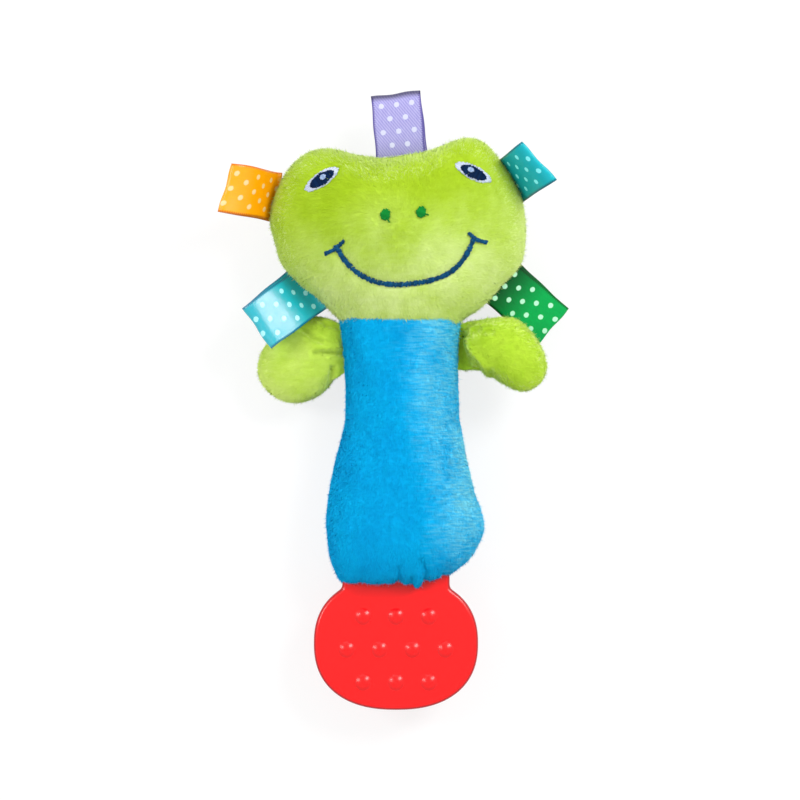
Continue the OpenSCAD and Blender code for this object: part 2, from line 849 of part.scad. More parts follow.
// The beads lie side by side round the lower wall, each in its own lane along the barrel.
lane_r = barrel_d / 2 - barrel_wall - bead_gap - bead_d / 2;
lane_step = 2 * asin((bead_d + bead_gap) / (2 * lane_r));
bead_middle = barrel_l / 2;

module bead(i) {
    lane = 270 + (i - 3) * lane_step;
    color(bead_yellow)
        translate([
            hip_x + lane_r * cos(lane),
            barrel_y + bead_middle + (i - 3) * bead_step,
            seam_z + lane_r * sin(lane)
        ])
            sphere(d = bead_d);
}

// Teether: a chewing plate with a neck and a tab that the hem is sewn to.

plate_power = 2.35;
shoulder_y = hem_y - shoulder_gap;

// Right half of the plate's outline, from the neck's top down to the lowest point, inset from the edge.
function plate_side(inset) =
    let (
        a = plate_w / 2 - inset,
        b = plate_h / 2 - inset,
        neck = plate_neck_w / 2 - inset,
        rise = b * pow(1 - pow(neck / a, plate_power), 1 / plate_power),
        start = acos(pow(rise / b, plate_power / 2)),
        steps = 18
    )
    concat(
        [[neck, shoulder_y - inset]],
        [
            for (k = [0 : steps])
                let (t = start + (178 - start) * k / steps, c = cos(t), s = sin(t))
                [a * pow(s, 2 / plate_power), plate_y + b * sign(c) * pow(abs(c), 2 / plate_power)]
        ]
    );

function plate_ring(inset, z) =
    let (side = plate_side(inset))
    concat(
        [for (p = side) [teether_x + p[0], p[1], z]],
        [for (i = [len(side) - 1 : -1 : 0]) [teether_x - side[i][0], side[i][1], z]]
    );

// Levels through the plate: the edge is a quarter round above and below.
function plate_levels() =
    let (half = plate_t / 2 - plate_edge_r)
    concat(
        [for (a = [90 : -30 : 0]) [plate_edge_r * (1 - cos(a)), -half - plate_edge_r * sin(a)]],
        [for (a = [0 : 30 : 90]) [plate_edge_r * (1 - cos(a)), half + plate_edge_r * sin(a)]]
    );

module chewing_plate() {
    levels = plate_levels();
    n = 2 * len(plate_side(0));
    last = n * (len(levels) - 1);
    strip = function (base, flip) [
        for (i = [0 : n / 2 - 2]) each cell(base + i, base + i + 1, base + n - 2 - i, base + n - 1 - i, flip)
    ];
    polyhedron(
        points = [for (l = levels) each plate_ring(l[0], seam_z + l[1])],
        faces = concat(grid_faces(len(levels), n, 0, true, true), strip(0, false), strip(last, true))
    );
}

// A dome with a round foot.
module bump() {
    r = (bump_d * bump_d / 4 + bump_h * bump_h) / (2 * bump_h);
    intersection() {
        translate([0, 0, bump_h - r]) sphere(r);
        translate([0, 0, -plate_t / 4]) cylinder(d = bump_d, h = plate_t);
    }
}

// Three, four and three bumps on each face.
module bumps() {
    for (row = [-1 : 1], i = [0 : 3]) {
        count = 4 - abs(row);
        if (i < count)
            translate([
                teether_x + (i - (count - 1) / 2) * bump_pitch,
                plate_y - bump_drop - row * bump_pitch,
                seam_z
            ])
                for (side = [0, 180]) rotate([0, side, 0]) translate([0, 0, plate_t / 2]) bump();
    }
}

module tab() {
    sunk = plate_edge_r + 1;
    corner = 2;
    translate([teether_x, hem_y + tab_l / 2 - (shoulder_gap + sunk) / 2, seam_z])
        difference() {
            cube([tab_w, tab_l + shoulder_gap + sunk, tab_t], center = true);
            for (i = [0 : sew_hole_count - 1])
                translate([
                    (i - (sew_hole_count - 1) / 2) * (tab_w - 2 * corner) / sew_hole_count,
                    (tab_l + shoulder_gap + sunk) / 2 - tab_l / 2,
                    0
                ])
                    cylinder(d = sew_hole_d, h = 2 * tab_t, center = true);
        }
}

module teether() {
    color(teether_red) {
        chewing_plate();
        tab();
        bumps();
    }
}

face_panel();
head_back_panel();
head_stuffing();
eye_white(left);  // left_eye_white
eye_pupil(left);  // left_eye_pupil
eye_glint(left);  // left_eye_glint
eye_white(right);  // right_eye_white
eye_pupil(right);  // right_eye_pupil
eye_glint(right);  // right_eye_glint
nostril(left);  // left_nostril
nostril(right);  // right_nostril
smile_stitching();
ribbon(top_sewn, top_ribbon_l, "#a79fe0");  // top_ribbon
ribbon(upper_left_sewn, upper_left_ribbon_l, "#ffa60a");  // upper_left_ribbon
ribbon(upper_right_sewn, upper_right_ribbon_l, "#0aa7ae");  // upper_right_ribbon
ribbon(lower_left_sewn, lower_left_ribbon_l, "#12aecb");  // lower_left_ribbon
ribbon(lower_right_sewn, lower_right_ribbon_l, "#0a9a46");  // lower_right_ribbon
body_front_panel();
body_back_panel();
body_stuffing();
arm_panel(left_arm, front);  // left_arm_front_panel
arm_panel(left_arm, back);  // left_arm_back_panel
arm_stuffing(left_arm);  // left_arm_stuffing
arm_panel(right_arm, front);  // right_arm_front_panel
arm_panel(right_arm, back);  // right_arm_back_panel
arm_stuffing(right_arm);  // right_arm_stuffing
rattle_cup();
rattle_cap();
bead(1);  // bead_1
bead(2);  // bead_2
bead(3);  // bead_3
bead(4);  // bead_4
bead(5);  // bead_5
teether();
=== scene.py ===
# Frog rattle teether: a plush toy lying on its back, looked at from straight above.
# Shapes are worked out in millimetres about the toy's own axis. They turn into metres in the part's frame
# when a mesh is made.
import math

import bpy
import numpy as np
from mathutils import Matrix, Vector
from mathutils.bvhtree import BVHTree


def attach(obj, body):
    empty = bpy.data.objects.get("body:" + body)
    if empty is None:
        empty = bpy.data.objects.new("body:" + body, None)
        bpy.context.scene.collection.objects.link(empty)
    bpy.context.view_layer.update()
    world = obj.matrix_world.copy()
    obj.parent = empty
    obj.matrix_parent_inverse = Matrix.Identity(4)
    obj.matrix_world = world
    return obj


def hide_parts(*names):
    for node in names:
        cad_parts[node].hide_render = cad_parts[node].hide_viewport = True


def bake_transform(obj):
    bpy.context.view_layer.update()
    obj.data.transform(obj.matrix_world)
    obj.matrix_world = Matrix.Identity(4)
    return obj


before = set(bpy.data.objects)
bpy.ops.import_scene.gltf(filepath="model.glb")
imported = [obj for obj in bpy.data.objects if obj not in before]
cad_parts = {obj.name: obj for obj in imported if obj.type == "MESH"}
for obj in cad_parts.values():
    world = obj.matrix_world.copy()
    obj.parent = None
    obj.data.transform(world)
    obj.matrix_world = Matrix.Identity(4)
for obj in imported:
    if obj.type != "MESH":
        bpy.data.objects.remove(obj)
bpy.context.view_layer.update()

MM = 0.001
# The toy's own axis lies this far to the right of the middle of its outline, which is the frame's origin.
AXIS = np.array([2.4, 0.0, 0.0])
# Height of the side seams, and of a cover's underside, which has pile between it and the table.
SEAM_Z = 18.0
REST_Z = 0.45
FRONT = 1
BACK = -1
# Ribbon width and thickness, and the dots on it: their rows, their spacing in a row, and their radius.
RIBBON_W = 16.0
RIBBON_T = 0.28
DOT_ROW = 4.3
DOT_PITCH = 5.0
DOT_R = 0.88


# Small helpers for shapes


def hermite(knots, t):
    """Smooth curve through (position, value) knots in rising order, for an array of positions."""
    k = np.asarray(knots, float)
    x, v = k[:, 0], k[:, 1]
    t = np.asarray(t, float)
    before = np.maximum(np.arange(len(x)) - 1, 0)
    after = np.minimum(np.arange(len(x)) + 1, len(x) - 1)
    slope = (v[after] - v[before]) / (x[after] - x[before])
    i = np.clip(np.searchsorted(x, t, side="right") - 1, 0, len(x) - 2)
    h = x[i + 1] - x[i]
    u = (t - x[i]) / h
    rise = v[i + 1] - v[i]
    s0, s1 = slope[i] * h, slope[i + 1] * h
    return v[i] + u * (s0 + u * (3 * rise - 2 * s0 - s1 + u * (s0 + s1 - 2 * rise)))


def unit(v):
    return v / np.maximum(np.linalg.norm(v, axis=-1, keepdims=True), 1e-12)


def bell(x, y, middle, size):
    """A smooth bump of height 1 round a place in the plan."""
    return np.exp(-((x - middle[0]) ** 2 + (y - middle[1]) ** 2) / (2 * size * size))


def in_frame(points):
    """Metres in the part's frame from millimetres about the toy's axis."""
    return (np.asarray(points, float) + AXIS) * MM


def away_from(points, path):
    """Distance in the plan from each point to the nearest point of a path."""
    best = np.full(len(points), 1e9)
    for p in np.asarray(path, float):
        best = np.minimum(best, (points[:, 0] - p[0]) ** 2 + (points[:, 1] - p[1]) ** 2)
    return np.sqrt(best)


def line(*marks):
    """Points every half millimetre or so along straight lines from mark to mark."""
    steps = [np.linspace(a, b, 2 + int(2 * math.dist(a, b)))[:-1] for a, b in zip(marks, marks[1:])]
    return np.concatenate([*steps, [marks[-1]]])


def crease(points, path, depth, width):
    """How far a crease draws each point in; a depth below 0 is a ridge."""
    return depth * np.exp(-((away_from(points, path) / width) ** 2))


def creases(points, folds, start=0.0):
    """How far several creases draw each point in: each fold is its marks, its depth and its width."""
    return sum((crease(points, line(*marks), depth, width) for marks, depth, width in folds), start)


def run_along(path):
    """Distance along a path to each of its points."""
    return np.concatenate([[0], np.cumsum(np.linalg.norm(np.diff(path, axis=0), axis=1))])


def curve(marks, steps, places):
    """Points of a smooth curve in the plan, through marks that lie at the given steps."""
    return np.stack([hermite(np.stack([steps, marks[:, k]], axis=1), places) for k in range(2)], axis=1)


def set_in(middle, slant, along, across):
    """A place in the plan, measured along and across a slanted shape."""
    c, s = math.cos(math.radians(slant)), math.sin(math.radians(slant))
    return np.array([middle[0] + along * c - across * s, middle[1] + along * s + across * c])


def make(name, points, faces):
    """A smooth mesh object from points in millimetres."""
    mesh = bpy.data.meshes.new(name)
    mesh.from_pydata(in_frame(points).tolist(), [], faces)
    mesh.polygons.foreach_set("use_smooth", [True] * len(mesh.polygons))
    mesh.update()
    obj = bpy.data.objects.new(name, mesh)
    bpy.context.collection.objects.link(obj)
    return obj


def tube_faces(rows, cols, closed=True):
    """Quads of a grid of rows, each closed round on itself or open."""
    return [
        (i * cols + j, i * cols + (j + 1) % cols, (i + 1) * cols + (j + 1) % cols, (i + 1) * cols + j)
        for i in range(rows - 1)
        for j in range(cols if closed else cols - 1)
    ]


def cap_faces(middle, first, cols, flip):
    """Triangles from one point to a ring."""
    ring = [(first + j, first + (j + 1) % cols) for j in range(cols)]
    return [(middle, b, a) if flip else (middle, a, b) for a, b in ring]


def vertex_rows(obj, what):
    flat = np.empty(len(obj.data.vertices) * 3, np.float32)
    obj.data.vertices.foreach_get(what, flat)
    return flat.reshape(-1, 3).astype(float)


def points_of(obj):
    """The object's vertices in millimetres."""
    return vertex_rows(obj, "co") / MM - AXIS


def normals_of(obj):
    return vertex_rows(obj, "normal")


def press_in(obj, points, dent):
    """Draws the cover in along its normals."""
    points -= normals_of(obj) * dent[:, None]
    obj.data.vertices.foreach_set("co", in_frame(points).astype(np.float32).ravel())
    obj.data.update()


def settle(points, faces, pinned, grow, pressure, cap, smooth):
    """Cloth simulation of a stuffed cover: it swells between its pinned seams and puckers along them."""
    frames = 14
    # The simulation is steadier on a larger cloth.
    enlarge = 10
    work = make("cloth_work", points * enlarge, faces)
    pins = work.vertex_groups.new(name="pinned")
    pins.add([int(i) for i in np.flatnonzero(pinned)], 1.0, "REPLACE")
    cloth = work.modifiers.new("cloth", "CLOTH")
    settings = cloth.settings
    settings.quality = 5
    settings.mass = 0.3
    settings.tension_stiffness = 20
    settings.compression_stiffness = 20
    settings.shear_stiffness = 8
    settings.bending_stiffness = 4
    settings.air_damping = 3
    settings.vertex_group_mass = "pinned"
    settings.shrink_min = -grow
    settings.use_pressure = True
    settings.uniform_pressure_force = pressure
    settings.effector_weights.gravity = 0
    cloth.collision_settings.use_self_collision = False
    cloth.collision_settings.use_collision = False
    scene = bpy.context.scene
    for number in range(1, frames + 1):
        scene.frame_set(number)
    done = work.evaluated_get(bpy.context.evaluated_depsgraph_get())
    moved = points_of(done) / enlarge - points
    scene.frame_set(1)
    bpy.data.objects.remove(work, do_unlink=True)
    ends = np.array([(f[k], f[k - 1]) for f in faces for k in range(len(f))])
    near = np.maximum(np.bincount(ends[:, 0], minlength=len(points)), 1)[:, None]
    for _ in range(smooth):
        sums = [np.bincount(ends[:, 0], moved[ends[:, 1], k], len(points)) for k in range(3)]
        moved = np.where(pinned[:, None], moved, (moved + np.stack(sums, axis=1) / near) / 2)
    far = np.maximum(np.linalg.norm(moved, axis=1, keepdims=True), 1e-9)
    return points + moved * np.minimum(1.0, cap / far)


# Materials


def srgb(r, g, b):
    """Linear colour from 8-bit values."""
    c = np.array([r, g, b]) / 255.0
    return tuple(np.where(c <= 0.04045, c / 12.92, ((c + 0.055) / 1.055) ** 2.4)) + (1.0,)


class Shader:
    """The node tree of a material or of the world, with short ways to add nodes and link them."""

    def __init__(self, owner):
        owner.use_nodes = True
        self.owner = owner
        self.tree = owner.node_tree
        self.bsdf = self.tree.nodes.get("Principled BSDF")

    def put(self, socket, value):
        if isinstance(value, bpy.types.NodeSocket):
            self.tree.links.new(value, socket)
        else:
            socket.default_value = value

    def node(self, kind, inputs=(), **settings):
        made = self.tree.nodes.new(kind)
        for key, value in settings.items():
            setattr(made, key, value)
        for key, value in dict(inputs).items():
            self.put(made.inputs[key], value)
        return made

    def math(self, operation, a, b=0.0, c=0.0, clamp=False):
        made = self.node("ShaderNodeMath", {0: a, 1: b, 2: c}, operation=operation, use_clamp=clamp)
        return made.outputs[0]

    def scale(self, value, by, plus, clamp=False):
        """The value times one number, plus another."""
        return self.math("MULTIPLY_ADD", value, by, plus, clamp)

    def mix(self, share, a, b, blend="MIX"):
        made = self.node("ShaderNodeMix", data_type="RGBA", blend_type=blend)
        self.put(made.inputs["Factor"], share)
        self.put(made.inputs[6], a)
        self.put(made.inputs[7], b)
        return made.outputs[2]

    def darken(self, colour, shade):
        grey = self.node("ShaderNodeCombineColor", {0: shade, 1: shade, 2: shade}).outputs[0]
        return self.mix(1.0, colour, grey, "MULTIPLY")

    def noise(self, place, scale, detail=2.0, roughness=0.5):
        inputs = {"Vector": place, "Scale": scale, "Detail": detail, "Roughness": roughness}
        return self.node("ShaderNodeTexNoise", inputs).outputs["Fac"]

    def spread(self, value, low, high, out_low=0.0, out_high=1.0):
        """A smooth step between two values."""
        inputs = {0: value, 1: low, 2: high, 3: out_low, 4: out_high}
        return self.node("ShaderNodeMapRange", inputs, interpolation_type="SMOOTHSTEP").outputs[0]

    def place(self, stretch=(1, 1, 1)):
        """Object coordinates in metres, stretched along each axis."""
        coords = self.node("ShaderNodeTexCoord").outputs["Object"]
        return self.node("ShaderNodeMapping", {"Vector": coords, "Scale": stretch}).outputs[0]

    def attribute(self, name):
        """A number that the mesh stores."""
        return self.node("ShaderNodeAttribute", attribute_name=name).outputs["Fac"]

    def bump(self, height, strength, distance):
        made = self.node("ShaderNodeBump", {"Height": height, "Strength": strength, "Distance": distance})
        self.put(self.bsdf.inputs["Normal"], made.outputs[0])

    def set(self, **values):
        for key, value in values.items():
            self.put(self.bsdf.inputs[key.replace("_", " ")], value)

    def in_sight(self):
        """1 for rays that show the background: straight, in a reflection or through glass."""
        rays = self.node("ShaderNodeLightPath").outputs
        share = self.math("MAXIMUM", rays["Is Camera Ray"], rays["Is Glossy Ray"])
        return self.math("MAXIMUM", share, rays["Is Transmission Ray"])

    def finish(self, share, first, second):
        """Sends a mix of two shaders to the output."""
        both = self.node("ShaderNodeMixShader", {0: share, 1: first, 2: second}).outputs[0]
        ends = [n for n in self.tree.nodes if n.type in ("OUTPUT_MATERIAL", "OUTPUT_WORLD")]
        self.put(ends[0].inputs["Surface"], both)


def plush(name, deep, main, sheen_colour, toward, start, end, rib, sheen, rim):
    """Short-pile plush in soft patches of two tones.

    It turns paler toward one side of the plan, between start and end, as a painted sheen where the nap
    catches the light, and there fine knitted rows show by the share rib. It is also paler by the share rim
    where it turns away from the eye, a painted sheen at the rim. The height that the mesh stores darkens it
    as painted shade.
    """
    s = Shader(bpy.data.materials.new(name))
    x, y = s.node("ShaderNodeSeparateXYZ", {"Vector": s.place()}).outputs[:2]
    patches = s.noise(s.place((1, 0.7, 1)), 75.0, 3.0, 0.55)
    streaks = s.noise(s.place((0.35, 1.6, 1)), 420.0, 2.0, 0.6)
    rows = s.noise(s.place((0.4, 2.6, 0.4)), 620.0, 1.0, 0.5)
    strand = s.attribute("strand")
    height = s.attribute("height")
    tone = s.scale(s.spread(patches, 0.3, 0.7), 0.42, 0.2)
    tone = s.scale(s.spread(streaks, 0.3, 0.7), 0.1, tone)
    tone = s.scale(strand, 0.18, tone, clamp=True)
    ribbed = s.scale(s.spread(rows, 0.35, 0.65, -0.5, 0.5), rib, tone)
    # Painted sheen: the plush is paler toward one side of the plan, with a ragged boundary.
    side = s.scale(x, toward[0], s.math("MULTIPLY", y, toward[1]))
    side = s.scale(s.math("SUBTRACT", patches, 0.5), 0.016, side)
    side = s.scale(s.math("SUBTRACT", rows, 0.5), 0.03 * rib, side)
    colour = s.mix(s.spread(side, start, end), s.mix(tone, deep, main), s.mix(ribbed, main, sheen_colour))
    # Painted sheen: paler by the share rim where the cover turns away from the eye.
    turned = s.node("ShaderNodeLayerWeight", {"Blend": 0.5}).outputs["Facing"]
    colour = s.mix(s.spread(turned, 0.16, 0.4, 0.0, rim), colour, sheen_colour)
    # Painted shade from the stored height: darker at the strand roots, on the cloth under the pile and along
    # seams.
    s.set(Base_Color=s.darken(colour, s.scale(height, 0.2, 0.8)), Roughness=0.95)
    s.set(Sheen_Weight=sheen, Sheen_Roughness=0.3, Sheen_Tint=sheen_colour, Specular_IOR_Level=0.1)
    return s.owner


def satin(name, deep, main, edge, dots, twill, shine):
    """Satin ribbon with pale dots in staggered rows; the map is in millimetres across and along.

    The twill is its turns across and along, and its strength.
    """
    dots_end, edge_start = 6.1, 7.1
    s = Shader(bpy.data.materials.new(name))
    uv = s.node("ShaderNodeUVMap", uv_map="ribbon").outputs[0]
    u, v = s.node("ShaderNodeSeparateXYZ", {"Vector": uv}).outputs[:2]
    from_middle = s.math("ABSOLUTE", s.math("SUBTRACT", u, RIBBON_W / 2))
    row = s.math("FLOOR", s.math("DIVIDE", v, DOT_ROW))
    shift = s.scale(s.math("PINGPONG", row, 1.0), 0.5, -0.1)
    fu = s.math("SUBTRACT", s.math("FRACT", s.math("ADD", s.math("DIVIDE", u, DOT_PITCH), shift)), 0.5)
    fv = s.math("SUBTRACT", s.math("FRACT", s.math("DIVIDE", v, DOT_ROW)), 0.5)
    du, dv = s.math("MULTIPLY", fu, DOT_PITCH), s.math("MULTIPLY", fv, DOT_ROW)
    far = s.math("SQRT", s.math("ADD", s.math("MULTIPLY", du, du), s.math("MULTIPLY", dv, dv)))
    ragged = s.scale(s.noise(uv, 2.2, 2.0), 0.3, -0.15)
    dot = s.spread(s.math("ADD", far, ragged), DOT_R + 0.1, DOT_R - 0.14)
    dot = s.math("MULTIPLY", dot, s.spread(from_middle, dots_end + 0.3, dots_end))
    weave = s.math("SINE", s.math("ADD", s.math("MULTIPLY", u, twill[0]), s.math("MULTIPLY", v, twill[1])))
    fine = s.node("ShaderNodeMapping", {"Vector": uv, "Scale": (6.0, 0.35, 1)}).outputs[0]
    tone = s.scale(s.noise(fine, 1.0, 2.0), 0.5, 0.25)
    tone = s.scale(weave, twill[2], tone, clamp=True)
    cloth = s.mix(tone, deep, main)
    loops = s.scale(s.math("SINE", s.math("MULTIPLY", v, 9.0)), 0.2, from_middle)
    cloth = s.mix(s.spread(loops, edge_start, edge_start + 0.6, 0.0, 0.85), cloth, edge)
    # Painted shade from the stored height: darker at the root and at the fold.
    cloth = s.darken(cloth, s.attribute("height"))
    s.set(Base_Color=s.mix(dot, cloth, dots), Roughness=s.scale(dot, 0.1, 0.2))
    s.set(Anisotropic=0.4, Specular_IOR_Level=shine, Specular_Tint=(1.0, 0.84, 0.9, 1))
    speckle = s.noise(uv, 4.5, 3.0, 0.75)
    height = s.scale(dot, 1.2, s.math("MULTIPLY", weave, 2 * twill[2]))
    s.bump(s.scale(speckle, 2.8, height), 0.4, 0.00005)
    return s.owner


def thread(name, dark, light, shine):
    """Embroidery thread: two shades that change from stitch to stitch, with a soft shine."""
    s = Shader(bpy.data.materials.new(name))
    stitch = s.attribute("strand")
    fine = s.noise(s.place(), 2600.0, 1.0)
    tone = s.scale(fine, 0.5, s.math("MULTIPLY", stitch, 0.6), clamp=True)
    s.set(Base_Color=s.mix(tone, dark, light), Roughness=0.5, Specular_IOR_Level=shine)
    s.bump(s.noise(s.place(), 4200.0, 1.0), 0.3, 0.00006)
    return s.owner


def rubber(name, colour, dark, rim):
    """Soft moulded rubber with a slight ripple, and painted shade where the mesh is marked as an edge."""
    s = Shader(bpy.data.materials.new(name))
    broad = s.noise(s.place(), 45.0, 2.0)
    fine = s.noise(s.place(), 900.0, 2.0)
    edge = s.attribute("edge")
    face = s.mix(s.spread(broad, 0.3, 0.7, 0.0, 0.25), colour, dark)
    # Painted shade: the rim colour where the mesh is marked as an edge.
    s.set(Base_Color=s.mix(s.math("MULTIPLY", edge, 0.75), face, rim))
    s.set(Roughness=s.scale(fine, 0.04, 0.24))
    s.set(Subsurface_Weight=0.12, Subsurface_Scale=0.002, Specular_IOR_Level=0.4)
    s.bsdf.inputs["Subsurface Radius"].default_value = (1.0, 0.25, 0.2)
    s.bump(s.scale(fine, 0.04, broad), 0.05, 0.0004)
    return s.owner


def moulded(name, colour):
    """Plain moulded plastic with a faint texture."""
    s = Shader(bpy.data.materials.new(name))
    fine = s.noise(s.place(), 1500.0, 2.0)
    s.set(Base_Color=s.mix(s.math("MULTIPLY", fine, 0.12), colour, (0.5, 0.5, 0.5, 1)))
    s.set(Roughness=s.scale(fine, 0.15, 0.3))
    s.bump(fine, 0.1, 0.00005)
    return s.owner


# Each plush's sheen colour is its painted sheen, toward one side and at the rim, and the tint of its real
# sheen.
HEAD_PLUSH = plush(
    "head_plush",
    deep=srgb(152, 186, 18), main=srgb(181, 212, 54), sheen_colour=srgb(222, 237, 168), toward=(0.25, -1.0),
    start=-0.072, end=-0.024, rib=0.05, sheen=0.6, rim=0.55,
)
ARM_PLUSH = plush(
    "arm_plush",
    deep=srgb(160, 202, 32), main=srgb(194, 226, 70), sheen_colour=srgb(218, 236, 138), toward=(-0.6, -1.0),
    start=-0.022, end=0.028, rib=0.05, sheen=0.6, rim=0.7,
)
BODY_PLUSH = plush(
    "body_plush",
    deep=srgb(0, 156, 219), main=srgb(0, 187, 239), sheen_colour=srgb(128, 220, 236), toward=(1.0, 0.18),
    start=0.001, end=0.026, rib=0.42, sheen=0.2, rim=0.0,
)
NAVY_THREAD = thread("navy_thread", srgb(0, 36, 58), srgb(8, 80, 124), 0.12)
PUPIL_THREAD = thread("pupil_thread", srgb(0, 14, 38), srgb(4, 36, 76), 0.06)
WHITE_THREAD = thread("white_thread", srgb(134, 146, 170), srgb(198, 206, 224), 0.2)
GLINT_THREAD = thread("glint_thread", srgb(112, 134, 168), srgb(160, 182, 214), 0.2)
GREEN_THREAD = thread("green_thread", srgb(0, 84, 28), srgb(6, 134, 48), 0.1)
# The last colour is the painted shade on the plate's rim and on its bumps' flanks.
RED_RUBBER = rubber("red_rubber", srgb(242, 3, 5), srgb(232, 0, 2), (0.24, 0.002, 0.004, 1))
FINE_TWILL = (14.0, 3.0, 0.02)
LILAC_SATIN = satin(
    "lilac_satin",
    deep=srgb(104, 95, 176), main=srgb(184, 182, 216), edge=srgb(70, 60, 140),
    dots=(0.5, 0.51, 0.67, 1), twill=(6.9, 4.7, 0.17), shine=0.25,
)
ORANGE_SATIN = satin(
    "orange_satin",
    deep=srgb(238, 132, 0), main=srgb(254, 176, 6), edge=srgb(200, 100, 0), dots=(0.8, 0.53, 0.24, 1),
    twill=FINE_TWILL, shine=0.45,
)
TEAL_SATIN = satin(
    "teal_satin",
    deep=srgb(0, 142, 154), main=srgb(0, 188, 200), edge=srgb(0, 96, 116), dots=(0.2, 0.8, 0.86, 1),
    twill=FINE_TWILL, shine=0.3,
)
AQUA_SATIN = satin(
    "aqua_satin",
    deep=srgb(0, 140, 150), main=srgb(0, 182, 200), edge=srgb(0, 96, 128), dots=(0.3, 0.74, 0.8, 1),
    twill=FINE_TWILL, shine=0.8,
)
LEAF_SATIN = satin(
    "leaf_satin",
    deep=srgb(0, 118, 46), main=srgb(0, 182, 90), edge=srgb(0, 80, 30), dots=(0.42, 0.78, 0.56, 1),
    twill=FINE_TWILL, shine=0.15,
)
WHITE_PLASTIC = moulded("white_plastic", srgb(233, 230, 220))
YELLOW_PLASTIC = moulded("yellow_plastic", srgb(244, 197, 44))


def coat(obj, material):
    obj.data.materials.clear()
    obj.data.materials.append(material)


def give(obj, material):
    """Gives the object its material."""
    coat(obj, material)


def number_points(obj, name, values):
    """Stores one number for each vertex, for the material to read."""
    made = obj.data.attributes.new(name, "FLOAT", "POINT")
    made.data.foreach_set("value", np.asarray(values, np.float32))


# Plush covers and their pile

PILE_PER_MM2 = 11.0
# Space between the outline and the cover's cloth, and the bare width on each side of a seam.
PILE_ROOM = 1.0
SEAM_GAP = 0.3


def mark_cover(obj, seam):
    """Tone of the cloth under the pile, with painted shade: a little under the pile, more along the seam."""
    number_points(obj, "strand", np.full(len(seam), 0.3))
    number_points(obj, "height", np.where(seam, -1.2, 0.7))


def pile(name, cover, length, comb, seed, keep):
    """Strands of pile on a cover, each a slim leaning triangle that is lit a little more from above.

    comb gives the way that the strands lean, and keep tells which roots have a strand.
    """
    stray_share, stray_reach = 0.06, 1.35
    upward = np.array([0, 0, 0.8])
    rng = np.random.default_rng(seed)
    mesh = cover.data
    mesh.calc_loop_triangles()
    corners = np.empty(len(mesh.loop_triangles) * 3, np.int32)
    mesh.loop_triangles.foreach_get("vertices", corners)
    corners = corners.reshape(-1, 3)
    points, normals = points_of(cover), normals_of(cover)
    a, b, c = (points[corners[:, k]] for k in range(3))
    area = np.linalg.norm(np.cross(b - a, c - a), axis=1) / 2
    count = int(area.sum() * PILE_PER_MM2)
    pick = rng.choice(len(corners), count, p=area / area.sum())
    u, v = np.sqrt(rng.random(count)), rng.random(count)
    weights = np.stack([1 - u, u * (1 - v), u * v], axis=1)[:, :, None]
    root = (points[corners[pick]] * weights).sum(axis=1)
    out = unit((normals[corners[pick]] * weights).sum(axis=1))
    kept = keep(root)
    root, out = root[kept], out[kept]
    count = len(root)
    flow = comb(root) + rng.normal(0, 0.45, (count, 3))
    flow = unit(flow - (flow * out).sum(axis=1, keepdims=True) * out)
    stray = rng.random(count) < stray_share
    lean = np.radians(np.where(stray, rng.normal(30, 12, count), rng.normal(62, 8, count)))[:, None]
    reach = (length * rng.uniform(0.7, 1.25, count) * np.where(stray, stray_reach, 1.0))[:, None]
    tip = root + reach * (out * np.cos(lean) + flow * np.sin(lean))
    side = np.cross(flow, out) * rng.uniform(0.08, 0.14, count)[:, None]
    tip[:, 2] = np.maximum(tip[:, 2], 0.05)
    strands = np.stack([root - side, root + side, tip], axis=1).reshape(-1, 3)
    obj = make(name, strands, np.arange(3 * count).reshape(-1, 3).tolist())
    number_points(obj, "strand", np.repeat(rng.random(count), 3))
    # Painted shade: each strand is darker at its root than at its tip.
    number_points(obj, "height", np.tile([0.6, 0.6, 1.0], count))
    bent = unit(out + 0.12 * rng.normal(0, 1, (count, 3)) + upward)
    obj.data.normals_split_custom_set_from_vertices(np.repeat(bent, 3, axis=0).tolist())
    return obj


# Head

HEAD_MIDDLE = np.array([-0.7, 55.5])
HEAD_MARKS = [
    (0.5, 15), (20.5, 25), (26.3, 29), (33.5, 36.5), (39.2, 43.2), (40.9, 51), (40.9, 57.5), (39.6, 65),
    (36.4, 72), (31.5, 79), (27.5, 83.2), (22, 84.7), (14, 82.5), (8.5, 80.9), (0, 79.6), (-7, 78.9),
    (-15, 79.8), (-20, 80.9), (-24.5, 81.3), (-29.5, 80.2), (-34, 77.2), (-38, 72), (-41.5, 63.5),
    (-42.4, 57.5), (-41, 51), (-38.7, 43.8), (-33, 37), (-26.5, 31.5), (-20.7, 26),
]
HEAD_COLS = 168
HEAD_RINGS = 26
FACE_DEPTH = 20.3
BACK_DEPTH = 17.8
# Below this the head is hidden in the body.
NECK_Y = 24.5

LEFT_EYE = np.array([-24.9, 70.3])
RIGHT_EYE = np.array([23.4, 72.4])


def head_turn():
    """Polar knots of the head's outline, repeated for the turns before and after."""
    away = np.array(HEAD_MARKS, float) - HEAD_MIDDLE
    angle = np.degrees(np.unwrap(np.arctan2(away[:, 1], away[:, 0])))
    one = np.stack([angle, np.linalg.norm(away, axis=1)], axis=1)
    return np.concatenate([one - [360, 0], one, one + [360, 0]])


HEAD_TURN = head_turn()


def brow(x, y, eye):
    return 1.3 * bell(x, y, eye, 8)


def muzzle(x, y):
    return 1.2 * bell(x, y, (2, 45), 13)


